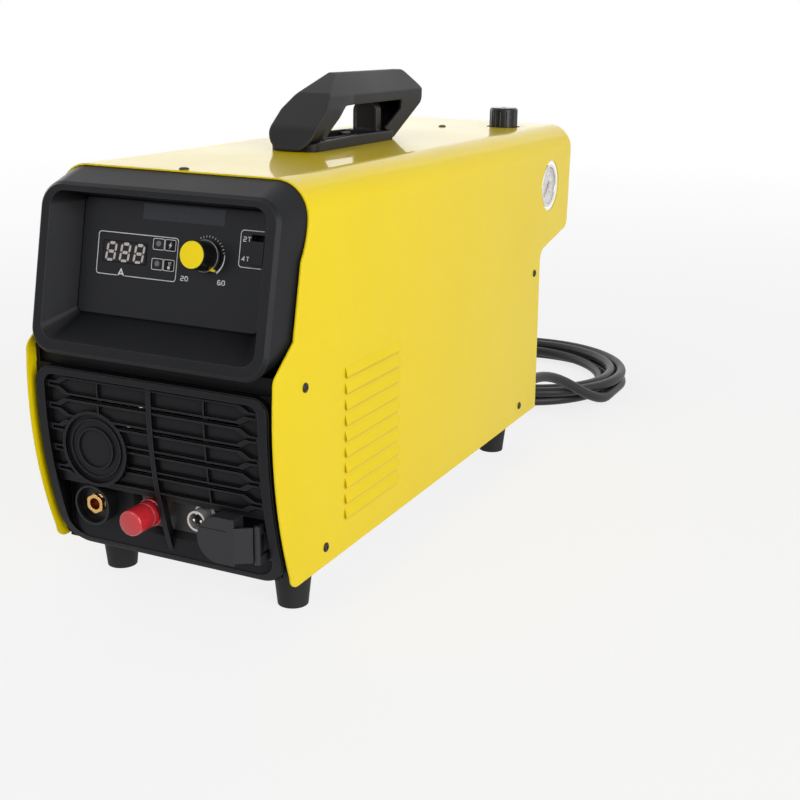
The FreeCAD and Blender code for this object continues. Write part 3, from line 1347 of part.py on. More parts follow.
def cable_points():
    start = at(gland_x, panel_y + plate_t + gland_len, gland_z)
    side = loop_x + loop_r
    run = lead_run
    end = at(side, loop_y - 2 * cord_r, floor_z)
    first = start + V(0, run, 0)
    last = end - V(0, run, 0)
    return [start, first, last, end]


def mains_cable():
    return tube(bent_route(cable_points(), 0.45), cord_r)


def coil_nodes():
    """Half-turn points with headings: in on the lower layer, up, then out on the upper one."""
    side = loop_x + loop_r
    points = [(side, floor_z)]
    x, z, r, sign = side, floor_z, loop_r, -1
    for _ in range(2 * turns_per_layer):
        x += sign * 2 * r
        r -= loop_pitch / 2
        points.append((x, z))
        sign = -sign
    z += layer
    x += sign * 2 * r
    points.append((x, z))
    sign = -sign
    for _ in range(2 * turns_per_layer):
        r += loop_pitch / 2
        x += sign * 2 * r
        points.append((x, z))
        sign = -sign
    return points


def coil_edges():
    lead = 2 * cord_r
    nodes = coil_nodes()
    edges = [Part.LineSegment(at(nodes[0][0], loop_y - lead, nodes[0][1]),
                              at(nodes[0][0], loop_y, nodes[0][1])).toShape()]
    heading = V(0, 1, 0)
    for here, after in zip(nodes, nodes[1:]):
        a = at(here[0], loop_y, here[1])
        b = at(after[0], loop_y, after[1])
        d = (b - a).Length / 2
        q0 = a + heading * d
        q1 = b + heading * d
        j = (q0 + q1) * 0.5
        edges.append(corner_arc(a, q0, j))
        edges.append(corner_arc(j, q1, b))
        heading = heading * -1
    last = nodes[-1]
    edges.append(Part.LineSegment(at(last[0], loop_y, last[1]),
                                  at(last[0], loop_y, last[1]) + heading * tail).toShape())
    return edges


def coil_gap(edges):
    points = []
    along = 0.0
    for e in edges:
        count = max(2, int(e.Length / 6))
        for i in range(count):
            t = e.FirstParameter + (e.LastParameter - e.FirstParameter) * i / count
            points.append((along + e.Length * i / count, e.valueAt(t)))
        along += e.Length
    least = min((p - q).Length for i, (s, p) in enumerate(points) for t, q in points[i + 1:]
                if t - s > 5 * cord_r)
    return least - 2 * cord_r


def mains_cable_coil():
    edges = coil_edges()
    print("coil least gap", round(coil_gap(edges), 2))
    return tube(edges, cord_r)


def plug_end():
    last = coil_nodes()[-1]
    heading = -1 if len(coil_nodes()) % 2 == 0 else 1
    return last[0], loop_y + heading * tail, last[1], heading


def mains_plug():
    x, y, z, s = plug_end()
    neck = Part.makeCone(cord_r + 1.5, plug_r - 4, plug_neck, at(x, y, z), V(0, s, 0))
    body = Part.makeCylinder(plug_r - 0.4, plug_len, at(x, y + s * plug_neck, z), V(0, s, 0))
    return neck.fuse(body)


def plug_pins():
    x, y, z, s = plug_end()
    face = y + s * (plug_neck + plug_len)
    return Part.makeCompound([Part.makeCylinder(prong_r, prong_len, at(x + t * prong_gap / 2, face, z), V(0, s, 0))
                              for t in (-1, 1)])


# inner pieces

def main_board():
    return block(-shelf_half, shelf_half, shelf_y0, shelf_y1, shelf_z, shelf_z + shelf_t)


def heatsinks():
    """Finned blocks in the fan's air stream; the board lies on them."""
    bodies = []
    step = (sink_w - fin_t) / (fins - 1)
    for x0 in (-sink_in - sink_w, sink_in):
        parts = [block(x0, x0 + sink_w, sink_y0, sink_y1, shelf_z - sink_base, shelf_z)]
        for i in range(fins):
            x = x0 + i * step
            parts.append(block(x, x + fin_t, sink_y0, sink_y1, tray_z, shelf_z - sink_base + 0.5))
        bodies.append(fused(parts))
    return Part.makeCompound(bodies)


def capacitors():
    return Part.makeCompound([upright(x, y, shelf_z + shelf_t, can_size_r, can_high) for x, y in can_places])


def transformer_core():
    low, high = shelf_z + shelf_t, shelf_z + shelf_t + core_h
    x0, x1, y0, y1 = core_x, core_x + core_w, core_y, core_y + core_t
    outer = block(x0, x1, y0, y1, low, high)
    room = block(x0 + core_yoke, x1 - core_yoke, y0 - 1, y1 + 1, low + core_lid, high - core_lid)
    limb = block(x0 + core_limb, x1 - core_limb, y0, y1, low + core_lid - 1, high - core_lid + 1)
    return outer.cut(room).fuse(limb)


def transformer_winding():
    low, high = shelf_z + shelf_t, shelf_z + shelf_t + core_h
    x0, x1, y0, y1 = core_x, core_x + core_w, core_y, core_y + core_t
    body = block(x0 + core_yoke + slack, x1 - core_yoke - slack, y0 - wound, y1 + wound,
                 low + core_lid + slack, high - core_lid - slack)
    room = block(x0 + core_limb - slack, x1 - core_limb + slack, y0 - slack, y1 + slack, low + 5, high)
    return body.cut(room)


def gas_hose():
    start = at(reg_x, panel_y - 50.5, reg_z)
    points = [start, at(reg_x, hose_turn_y, reg_z), at(reg_x, hose_turn_y, gas_z), at(gas_x, hose_turn_y, gas_z),
              at(gas_x, plate_back_y + 17.5, gas_z)]
    edges = []
    here = points[0]
    for i in range(1, len(points) - 1):
        corner = points[i]
        back = points[i - 1] - corner
        out = points[i + 1] - corner
        reach = hose_bend
        if i < len(points) - 2:
            reach = min(hose_bend, 0.5 * back.Length - 0.5, 0.5 * out.Length - 0.5)
        back.normalize()
        out.normalize()
        a = corner + back * reach
        b = corner + out * reach
        edges.append(Part.LineSegment(here, a).toShape())
        edges.append(corner_arc(a, corner, b))
        here = b
    edges.append(Part.LineSegment(here, points[-1]).toShape())
    return tube(edges, hose_r)


pieces = {
    "cover": cover, "base_tray": base_tray, "rear_panel": rear_panel, "front_panel": front_panel,
    "feet": feet, "machine_screws": machine_screws,
    "control_plate": control_plate, "current_display": current_display, "indicator_lamps": indicator_lamps,
    "control_board": control_board, "potentiometer": potentiometer, "potentiometer_shaft": potentiometer_shaft,
    "current_knob": current_knob, "current_knob_cap": knob_cap, "mode_switch": mode_switch,
    "mode_switch_slider": mode_slider,
    "output_socket": output_socket, "output_socket_contact": output_contact, "output_socket_nut": panel_nut,
    "connector_plate": connector_plate, "torch_gas_fitting": torch_fitting, "torch_fitting_cap": torch_cap,
    "signal_socket_shell": signal_shell, "signal_socket_insert": signal_insert,
    "signal_socket_pins": signal_pins, "pilot_terminal": pilot_terminal, "terminal_cover": terminal_cover,
    "terminal_cover_bracket": cover_bracket, "terminal_cover_pin": cover_pin,
    "handle_base": handle_base, "handle_grip": handle_grip, "handle_screws": handle_screws,
    "regulator_body": regulator_body, "regulator_bracket": regulator_bracket,
    "regulator_bonnet": regulator_bonnet, "regulator_adjusting_nut": adjusting_nut,
    "regulator_knob": regulator_knob, "filter_bowl": filter_bowl,
    "gauge_case": gauge_case, "gauge_dial": gauge_dial, "gauge_needle": gauge_needle,
    "gauge_lens": gauge_lens, "air_inlet_nipple": air_inlet, "solenoid_valve": solenoid_valve,
    "gas_hose": gas_hose, "fan_frame": fan_frame, "fan_rotor": fan_rotor, "fan_guard": fan_guard,
    "mains_breaker": breaker, "mains_breaker_lever": breaker_lever,
    "cable_gland": cable_gland, "mains_cable": mains_cable, "mains_cable_coil": mains_cable_coil,
    "mains_plug": mains_plug, "mains_plug_pins": plug_pins,
    "main_board": main_board, "heatsinks": heatsinks, "capacitors": capacitors,
    "transformer_core": transformer_core, "transformer_winding": transformer_winding,
}
for name, build in pieces.items():
    save(name, build())
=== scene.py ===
import bpy
import bmesh
import math
from mathutils import Matrix, Vector


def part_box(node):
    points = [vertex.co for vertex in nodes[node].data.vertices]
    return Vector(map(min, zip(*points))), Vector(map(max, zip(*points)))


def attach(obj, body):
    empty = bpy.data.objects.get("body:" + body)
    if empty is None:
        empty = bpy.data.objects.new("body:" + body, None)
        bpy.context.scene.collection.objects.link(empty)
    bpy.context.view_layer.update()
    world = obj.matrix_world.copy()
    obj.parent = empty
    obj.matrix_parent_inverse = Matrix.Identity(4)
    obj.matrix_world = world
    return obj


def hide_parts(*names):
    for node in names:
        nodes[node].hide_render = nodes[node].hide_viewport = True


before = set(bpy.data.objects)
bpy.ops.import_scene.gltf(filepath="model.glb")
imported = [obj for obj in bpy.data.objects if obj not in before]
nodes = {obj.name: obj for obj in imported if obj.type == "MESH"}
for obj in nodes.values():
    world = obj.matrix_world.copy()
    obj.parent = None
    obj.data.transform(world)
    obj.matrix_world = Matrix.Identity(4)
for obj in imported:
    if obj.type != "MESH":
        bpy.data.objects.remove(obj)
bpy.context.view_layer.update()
print("frame loaded:", len(nodes), "nodes")

mm = 0.001
chassis = "chassis"


# camera, turned in degrees
cameraSet = {"place": (0.51444, -0.97691, 0.41629), "turn": (73.3165, -0.9244, 25.4802),
             "lens": 57.373, "sensor": 36, "near": 0.02}
cameraData = bpy.data.cameras.new("studioCamera")
cameraData.lens = cameraSet["lens"]
cameraData.sensor_width = cameraSet["sensor"]
cameraData.clip_start = cameraSet["near"]
camera = bpy.data.objects.new("studioCamera", cameraData)
camera.location = cameraSet["place"]
camera.rotation_euler = [math.radians(a) for a in cameraSet["turn"]]
bpy.context.scene.collection.objects.link(camera)
bpy.context.scene.camera = camera
bpy.context.scene.view_settings.view_transform = "Standard"


# helpers
def addObject(name, data, body=chassis):
    piece = bpy.data.objects.new(name, data)
    bpy.context.scene.collection.objects.link(piece)
    if body:
        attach(piece, body)
    return piece


def finishMesh(name, bm, material, body=chassis, smooth=None):
    bmesh.ops.remove_doubles(bm, verts=bm.verts, dist=1e-6)
    bmesh.ops.recalc_face_normals(bm, faces=bm.faces)
    mesh = bpy.data.meshes.new(name)
    bm.to_mesh(mesh)
    bm.free()
    mesh.materials.append(material)
    if smooth:
        mesh.shade_smooth()
        mesh.set_sharp_from_angle(angle=math.radians(smooth))
    return addObject(name, mesh, body)


def spinRound(bm, points, centre, axis, steps, closed=False):
    # full turn of a line of points about an axis
    chain = [bm.verts.new(point) for point in points]
    pairs = list(zip(chain, chain[1:])) + ([(chain[-1], chain[0])] if closed else [])
    wires = [bm.edges.new(pair) for pair in pairs]
    bmesh.ops.spin(bm, geom=chain + wires, cent=centre, axis=axis, angle=math.tau, steps=steps,
                   use_merge=True)


def middle(node):
    low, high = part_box(node)
    return (Vector(low) + Vector(high)) / 2


def endMiddle(node, rear):
    # middle of a node's front or rear end
    low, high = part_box(node)
    return Vector(((low[0] + high[0]) / 2, high[1] if rear else low[1], (low[2] + high[2]) / 2))


def polar(radius, degrees, centre=(0, 0)):
    turn = math.radians(degrees)
    return centre[0] + radius * math.cos(turn), centre[1] + radius * math.sin(turn)


# shader groups that the finishes share
def newGroup(name, inputs, outputs):
    group = bpy.data.node_groups.new(name, "ShaderNodeTree")
    for label, value in inputs.items():
        socket = group.interface.new_socket(label, in_out="INPUT",
                                            socket_type="NodeSocketFloat")
        socket.default_value = value
    for label, kind in outputs.items():
        group.interface.new_socket(label, in_out="OUTPUT", socket_type=kind)
    return group, group.nodes.new("NodeGroupInput"), group.nodes.new("NodeGroupOutput")


def grainGroup():
    # fine pits for the bump, and broad patches for colour and gloss
    group, source, target = newGroup(
        "surfaceGrain", {"Fine": 900.0, "Broad": 14.0},
        {"Height": "NodeSocketFloat", "Patch": "NodeSocketFloat"})
    coords = group.nodes.new("ShaderNodeTexCoord")
    fine = group.nodes.new("ShaderNodeTexNoise")
    fine.inputs["Detail"].default_value = 3
    broad = group.nodes.new("ShaderNodeTexNoise")
    broad.inputs["Detail"].default_value = 4
    link = group.links.new
    link(coords.outputs["Object"], fine.inputs["Vector"])
    link(coords.outputs["Object"], broad.inputs["Vector"])
    link(source.outputs["Fine"], fine.inputs["Scale"])
    link(source.outputs["Broad"], broad.inputs["Scale"])
    link(fine.outputs["Fac"], target.inputs["Height"])
    link(broad.outputs["Fac"], target.inputs["Patch"])
    return group


def edgeGroup():
    # rounded normal at edges, and a mask that is 1 at edges, for rubbed edges and a painted
    # highlight on them
    group, source, target = newGroup(
        "roundedEdge", {"Radius": 0.0008, "Strength": 4.0, "Reach": 0.01},
        {"Normal": "NodeSocketVector", "Mask": "NodeSocketFloat", "ShadeMask": "NodeSocketFloat"})
    bevel = group.nodes.new("ShaderNodeBevel")
    bevel.samples = 4
    geometry = group.nodes.new("ShaderNodeNewGeometry")
    dot = group.nodes.new("ShaderNodeVectorMath")
    dot.operation = "DOT_PRODUCT"
    away = group.nodes.new("ShaderNodeMath")
    away.operation = "SUBTRACT"
    away.inputs[0].default_value = 1
    lift = group.nodes.new("ShaderNodeMath")
    lift.operation = "MULTIPLY"
    lift.use_clamp = True
    link = group.links.new
    link(source.outputs["Radius"], bevel.inputs["Radius"])
    link(bevel.outputs["Normal"], dot.inputs[0])
    link(geometry.outputs["Normal"], dot.inputs[1])
    link(dot.outputs["Value"], away.inputs[1])
    link(away.outputs["Value"], lift.inputs[0])
    link(source.outputs["Strength"], lift.inputs[1])
    link(bevel.outputs["Normal"], target.inputs["Normal"])
    link(lift.outputs["Value"], target.inputs["Mask"])
    # painted shade: the deeper a groove or field lies between its walls, the nearer the mask is to
    # 1
    shelter = group.nodes.new("ShaderNodeAmbientOcclusion")
    shelter.samples = 8
    shelter.only_local = True
    shade = group.nodes.new("ShaderNodeMapRange")
    shade.inputs["From Min"].default_value = 0.98    # open surface
    shade.inputs["From Max"].default_value = 0.66    # bottom of a groove
    link(source.outputs["Reach"], shelter.inputs["Distance"])
    link(shelter.outputs["AO"], shade.inputs["Value"])
    link(shade.outputs["Result"], target.inputs["ShadeMask"])
    return group


grain = grainGroup()
edge = edgeGroup()


def overTone(tree, color, mask):
    # mix node that lays a colour over its input A as far as the mask says
    mix = tree.nodes.new("ShaderNodeMix")
    mix.data_type = "RGBA"
    mix.inputs["B"].default_value = (*color, 1)
    tree.links.new(mask, mix.inputs["Factor"])
    return mix


# what a finish has where its own lines say nothing else, with lengths in metres
plainLook = {"fine": 900, "broad": 14, "round": 0.0006, "wearAndHighlight": 3, "reach": 0.01,
             "rough": (0.4, 0.5), "bump": 0.2, "depth": 0.0002, "metal": 0, "shine": 0.5,
             "coat": 0, "coatRough": 0.05, "coatIor": 1.5, "clear": 0, "ior": 1.45,
             "patchLow": 0.3, "patchHigh": 0.7}


def makeFinish(name, own):
    look = {**plainLook, **own}
    base = look["color"]
    second = look.get("second", [c * 0.86 for c in base])
    edgeWearAndHighlight = look.get("edge", [min(1, c * 1.5 + 0.01) for c in base])
    material = bpy.data.materials.new(name)
    material.use_nodes = True
    tree = material.node_tree
    link = tree.links.new
    shader = tree.nodes["Principled BSDF"]
    surface = tree.nodes.new("ShaderNodeGroup")
    surface.node_tree = grain
    surface.inputs["Fine"].default_value = look["fine"]
    surface.inputs["Broad"].default_value = look["broad"]
    rim = tree.nodes.new("ShaderNodeGroup")
    rim.node_tree = edge
    rim.inputs["Radius"].default_value = look["round"]
    rim.inputs["Strength"].default_value = look["wearAndHighlight"]

    patches = overTone(tree, second, surface.outputs["Patch"])
    patches.inputs["A"].default_value = (*base, 1)
    # edge tone: rubbed edges and a painted highlight along them
    tone = overTone(tree, edgeWearAndHighlight, rim.outputs["Mask"])
    link(patches.outputs["Result"], tone.inputs["A"])
    if "hollow" in look:
        # painted shade: the sheltered field of a moulding is coloured darker than its crests
        rim.inputs["Reach"].default_value = look["reach"]
        shadedTone = overTone(tree, look["hollow"], rim.outputs["ShadeMask"])
        link(tone.outputs["Result"], shadedTone.inputs["A"])
        tone = shadedTone
    link(tone.outputs["Result"], shader.inputs["Base Color"])

    gloss = tree.nodes.new("ShaderNodeMapRange")
    gloss.inputs["From Min"].default_value = look["patchLow"]
    gloss.inputs["From Max"].default_value = look["patchHigh"]
    gloss.inputs["To Min"].default_value = look["rough"][0]
    gloss.inputs["To Max"].default_value = look["rough"][1]
    link(surface.outputs["Patch"], gloss.inputs["Value"])
    link(gloss.outputs["Result"], shader.inputs["Roughness"])

    bump = tree.nodes.new("ShaderNodeBump")
    bump.inputs["Strength"].default_value = look["bump"]
    bump.inputs["Distance"].default_value = look["depth"]
    link(surface.outputs["Height"], bump.inputs["Height"])
    link(rim.outputs["Normal"], bump.inputs["Normal"])
    link(bump.outputs["Normal"], shader.inputs["Normal"])

    shader.inputs["Metallic"].default_value = look["metal"]
    shader.inputs["Coat Weight"].default_value = look["coat"]
    shader.inputs["Coat Roughness"].default_value = look["coatRough"]
    shader.inputs["Coat IOR"].default_value = look["coatIor"]
    shader.inputs["Specular IOR Level"].default_value = look["shine"]
    if look["clear"]:
        shader.inputs["Transmission Weight"].default_value = look["clear"]
        shader.inputs["IOR"].default_value = look["ior"]
    return material


# color and second are the tones of the broad patches, edge the tone of rubbed edges with a painted
# highlight, and the groove tone painted shade; rough runs from the first tone to the second
finishes = {
    "yellowPaint": {"color": (0.86, 0.66, 0.003), "second": (0.82, 0.61, 0.003),
                    "edge": (0.9, 0.72, 0.03), "rough": (0.28, 0.36), "fine": 260,
                    "depth": 0.00005, "bump": 0.1, "shine": 0.05, "coat": 0.6, "coatRough": 0.04,
                    "coatIor": 1.2, "wearAndHighlight": 1, "hollow": (0.5, 0.33, 0.002), "reach": 0.004},
    "panelPlastic": {"color": (0.0095, 0.0099, 0.012), "second": (0.0122, 0.0127, 0.0152),
                     "edge": (0.075, 0.075, 0.082), "hollow": (0.0014, 0.0015, 0.0019),
                     "reach": 0.018, "shine": 0.14, "rough": (0.36, 0.45), "fine": 1500,
                     "depth": 0.00012, "bump": 0.45, "round": 0.0008},
    "platePrint": {"color": (0.0085, 0.009, 0.012), "second": (0.007, 0.0075, 0.010),
                   "shine": 0.2, "rough": (0.3, 0.38), "fine": 1800, "depth": 0.00005,
                   "bump": 0.15},
    "stripFilm": {"color": (0.016, 0.018, 0.027), "shine": 0.3, "rough": (0.25, 0.35),
                  "bump": 0.05},
    "displayFace": {"color": (0.013, 0.013, 0.016), "second": (0.016, 0.016, 0.019),
                    "rough": (0.22, 0.3), "shine": 0.15, "bump": 0.02},
    "segmentPale": {"color": (0.46, 0.41, 0.39), "second": (0.52, 0.47, 0.45),
                    "rough": (0.4, 0.5), "bump": 0.05},
    "whitePrint": {"color": (0.72, 0.72, 0.72), "second": (0.66, 0.66, 0.67),
                   "rough": (0.45, 0.55), "bump": 0.05},
    "lampBody": {"color": (0.10, 0.10, 0.11), "rough": (0.12, 0.2), "coat": 0.6, "bump": 0.03},
    "boardGreen": {"color": (0.012, 0.10, 0.045), "rough": (0.35, 0.45), "coat": 0.4},
    "greyPlastic": {"color": (0.020, 0.0205, 0.023), "second": (0.024, 0.0245, 0.027),
                    "edge": (0.07, 0.07, 0.075), "hollow": (0.006, 0.006, 0.007), "reach": 0.006,
                    "shine": 0.3, "rough": (0.36, 0.44), "fine": 1500, "depth": 0.0001,
                    "bump": 0.3},
    "darkPlastic": {"color": (0.009, 0.009, 0.010), "edge": (0.04, 0.04, 0.042),
                    "hollow": (0.003, 0.003, 0.003), "reach": 0.008, "shine": 0.3,
                    "rough": (0.33, 0.42), "fine": 1400, "depth": 0.00008, "bump": 0.25},
    "handlePlastic": {"color": (0.0095, 0.009, 0.0095), "second": (0.0125, 0.0118, 0.0125),
                      "edge": (0.07, 0.066, 0.07), "shine": 0.2, "rough": (0.40, 0.48),
                      "fine": 1300, "depth": 0.00016, "bump": 0.5, "round": 0.0025},
    "knobBlack": {"color": (0.006, 0.006, 0.0065), "shine": 0.35, "edge": (0.05, 0.05, 0.055),
                  "rough": (0.16, 0.22), "bump": 0.08},
    "knobYellow": {"color": (0.96, 0.72, 0.009), "shine": 0.2, "rough": (0.3, 0.36), "bump": 0.06},
    "brassTurned": {"color": (0.78, 0.46, 0.16), "second": (0.68, 0.38, 0.12),
                    "edge": (0.95, 0.78, 0.5), "rough": (0.2, 0.32), "metal": 1, "fine": 700,
                    "bump": 0.12},
    "aluminiumCast": {"color": (0.62, 0.63, 0.64), "second": (0.54, 0.55, 0.56),
                      "edge": (0.8, 0.8, 0.8), "rough": (0.32, 0.45), "metal": 1, "fine": 900,
                      "bump": 0.25},
    "zincSheet": {"color": (0.50, 0.51, 0.52), "second": (0.42, 0.43, 0.44),
                  "rough": (0.35, 0.5), "metal": 1, "broad": 60, "bump": 0.1},
    "blackPowder": {"color": (0.018, 0.018, 0.019), "second": (0.022, 0.022, 0.023),
                    "edge": (0.05, 0.05, 0.05), "rough": (0.42, 0.5), "fine": 600,
                    "depth": 0.00015, "bump": 0.35},
    "rubberBlack": {"color": (0.009, 0.009, 0.009), "second": (0.014, 0.014, 0.0135),
                    "edge": (0.03, 0.03, 0.03), "shine": 0.3, "rough": (0.6, 0.72), "fine": 1100,
                    "depth": 0.0002, "bump": 0.4, "round": 0.0012},
    "leadRubber": {"color": (0.008, 0.008, 0.008), "second": (0.013, 0.013, 0.013), "shine": 0.4,
                   "rough": (0.42, 0.55), "fine": 500, "depth": 0.0002, "bump": 0.25},
    "screwBlack": {"color": (0.014, 0.013, 0.012), "edge": (0.09, 0.085, 0.08),
                   "rough": (0.3, 0.4), "metal": 0.4},
    "redCap": {"color": (0.58, 0.022, 0.032), "second": (0.50, 0.016, 0.024),
               "edge": (0.7, 0.14, 0.14), "hollow": (0.16, 0.006, 0.01), "rough": (0.24, 0.32),
               "coat": 0.4, "bump": 0.06, "round": 0.0008},
    "chromePlate": {"color": (0.80, 0.78, 0.77), "second": (0.72, 0.70, 0.69),
                    "rough": (0.16, 0.26), "metal": 1, "bump": 0.04},
    "displayDark": {"color": (0.005, 0.005, 0.006), "shine": 0.12, "rough": (0.2, 0.3),
                    "bump": 0.03},
    # grey of the knob's skirt ring, a painted highlight
    "highlightGrey": {"color": (0.30, 0.30, 0.31), "rough": (0.3, 0.4), "bump": 0.03},
    "nickelSatin": {"color": (0.62, 0.60, 0.58), "second": (0.54, 0.52, 0.50),
                    "rough": (0.34, 0.44), "metal": 0.65, "bump": 0.06},
    "bowlClear": {"color": (0.82, 0.85, 0.86), "rough": (0.12, 0.2), "clear": 0.9, "bump": 0.05},
    "dialWhite": {"color": (0.84, 0.83, 0.80), "second": (0.82, 0.81, 0.78), "rough": (0.4, 0.5),
                  "bump": 0.03},
    "dialInk": {"color": (0.02, 0.02, 0.02), "rough": (0.5, 0.6), "bump": 0.03},
    "needleRed": {"color": (0.32, 0.07, 0.02), "rough": (0.35, 0.45), "bump": 0.03},
    "gaugeGlass": {"color": (0.98, 0.98, 0.98), "rough": (0.0, 0.02), "clear": 1.0, "bump": 0.0},
    "ferriteGrey": {"color": (0.04, 0.04, 0.043), "rough": (0.5, 0.65)},
    "windingTape": {"color": (0.55, 0.38, 0.05), "rough": (0.3, 0.4)},
    "capSleeve": {"color": (0.012, 0.03, 0.09), "rough": (0.25, 0.35)},
    "hoseBlue": {"color": (0.02, 0.07, 0.26), "rough": (0.3, 0.4), "coat": 0.3},
}
looks = {name: makeFinish(name, look) for name, look in finishes.items()}

nodeFinish = {
    "cover": "yellowPaint", "front_panel": "panelPlastic", "control_plate": "platePrint",
    "current_display": "displayFace", "indicator_lamps": "lampBody", "current_knob": "knobBlack",
    "current_knob_cap": "knobYellow", "potentiometer_shaft": "greyPlastic",
    "mode_switch": "darkPlastic", "mode_switch_slider": "platePrint",
    "output_socket": "darkPlastic", "output_socket_contact": "brassTurned",
    "output_socket_nut": "brassTurned", "connector_plate": "blackPowder",
    "torch_gas_fitting": "brassTurned", "torch_fitting_cap": "redCap",
    "signal_socket_shell": "nickelSatin", "signal_socket_insert": "darkPlastic",
    "signal_socket_pins": "chromePlate", "pilot_terminal": "brassTurned",
    "terminal_cover": "greyPlastic", "terminal_cover_bracket": "greyPlastic",
    "terminal_cover_pin": "chromePlate", "handle_base": "handlePlastic",
    "handle_grip": "handlePlastic", "handle_screws": "screwBlack", "machine_screws": "screwBlack",
    "base_tray": "zincSheet", "rear_panel": "blackPowder", "feet": "rubberBlack",
    "regulator_body": "aluminiumCast", "regulator_bracket": "zincSheet",
    "regulator_bonnet": "darkPlastic", "regulator_adjusting_nut": "brassTurned",
    "regulator_knob": "knobBlack", "filter_bowl": "bowlClear", "gauge_case": "chromePlate",
    "gauge_dial": "dialWhite", "gauge_needle": "needleRed", "gauge_lens": "gaugeGlass",
    "air_inlet_nipple": "brassTurned", "solenoid_valve": "brassTurned", "gas_hose": "hoseBlue",
    "fan_frame": "darkPlastic", "fan_rotor": "darkPlastic", "fan_guard": "darkPlastic",
    "mains_breaker": "darkPlastic", "mains_breaker_lever": "greyPlastic",
    "cable_gland": "rubberBlack", "mains_plug": "rubberBlack", "mains_plug_pins": "brassTurned",
    "main_board": "boardGreen", "control_board": "boardGreen", "potentiometer": "greyPlastic",
    "heatsinks": "aluminiumCast", "capacitors": "capSleeve", "transformer_core": "ferriteGrey",
    "transformer_winding": "windingTape",
}
for node, finish in nodeFinish.items():
    for holder in nodes[node].material_slots:
        holder.material = looks[finish]
print("finishes on", len(nodeFinish), "nodes")


# mains plug: moulded body with grip ribs and a stepped strain relief, as (along, radius)
plug = {"steps": 40,
        "profile": [(0.0, 6.4), (2.2, 7.0), (2.6, 6.2), (4.6, 6.4), (5.0, 7.4), (7.2, 7.6),
                    (7.6, 6.8), (9.6, 7.6), (14.0, 12.4), (17.0, 14.9), (20.0, 15.6),
                    (22.0, 15.6), (22.6, 14.7), (24.2, 14.7), (24.8, 15.8), (27.0, 15.8),
                    (27.6, 14.9), (29.2, 14.9), (29.8, 16.0), (32.0, 16.0), (32.6, 15.1),
                    (34.2, 15.1), (34.8, 16.3), (47.6, 16.6), (49.2, 16.1), (50.0, 15.0)]}
plugBody = bmesh.new()
plugEnd = endMiddle("mains_plug", rear=True)
spinRound(plugBody, [plugEnd + Vector((r, -d, 0)) * mm for d, r in plug["profile"]], plugEnd,
          (0, 1, 0), plug["steps"])
bmesh.ops.holes_fill(plugBody, edges=[e for e in plugBody.edges if e.is_boundary])
mainsPlug = finishMesh("mainsPlug", plugBody, looks["rubberBlack"], smooth=32)
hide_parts("mains_plug")
print("plug moulded")


# mains lead: one smooth line through the free stretch and the loops behind the machine
# loop is the outer loops' radius, step the way in from loop to loop, layer the upper loops' rise
lead = {"thick": 0.011, "length": 3.34, "run": 0.056, "loop": 0.120, "loopX": 0.012,
        "loopY": 0.4295, "step": 0.0124, "layer": 0.0118, "turnsEach": 2, "perHalf": 6,
        "tail": 0.058, "lift": 0.0003, "sides": 6, "smooth": 8}


def leadRoute():
    # out of the gland and down to the floor, then half turn by half turn: inwards on the floor,
    # up one layer, and outwards again to the plug
    start = endMiddle("cable_gland", rear=True)
    floorZ = lead["thick"] / 2 + lead["lift"]
    end = Vector((lead["loopX"] + lead["loop"], lead["loopY"] - lead["thick"], floorZ))
    along = Vector((0, lead["run"], 0))
    points = [start, start + along, end - along, end]
    x, z, radius, sign, way = end.x, floorZ, lead["loop"], -1, 1
    wedge = 180 / lead["perHalf"]
    halves = 2 * lead["turnsEach"]
    for change in [-1] * halves + [0] + [1] * halves:
        if change > 0:
            radius += lead["step"] / 2
        rise = lead["layer"] if change == 0 else 0
        centre = x + sign * radius
        wide = radius / math.cos(math.radians(wedge / 2))
        for k in range(lead["perHalf"]):
            angle = wedge * (k + 0.5)
            across, back = polar(wide, angle)
            points.append(Vector((centre - sign * across, lead["loopY"] + way * back,
                                  z + rise * angle / 180)))
        x += sign * 2 * radius
        z += rise
        if change < 0:
            radius -= lead["step"] / 2
        sign, way = -sign, -way
    points.append(Vector((x, lead["loopY"] + way * lead["tail"], z)))
    return points


route = leadRoute()
curve = bpy.data.curves.new("mainsLead", "CURVE")
curve.dimensions = "3D"
curve.bevel_depth = lead["thick"] / 2
curve.bevel_resolution = lead["sides"]
curve.resolution_u = lead["smooth"]
curve.use_fill_caps = True
line = curve.splines.new("NURBS")
line.points.add(len(route) - 1)
for point, place in zip(line.points, route):
    point.co = (*place, 1)
line.order_u = 3
line.use_endpoint_u = True
curve.materials.append(looks["leadRubber"])
mainsLead = addObject("mainsLead", curve)
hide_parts("mains_cable", "mains_cable_coil")
print("mains lead laid:", len(route), "points")


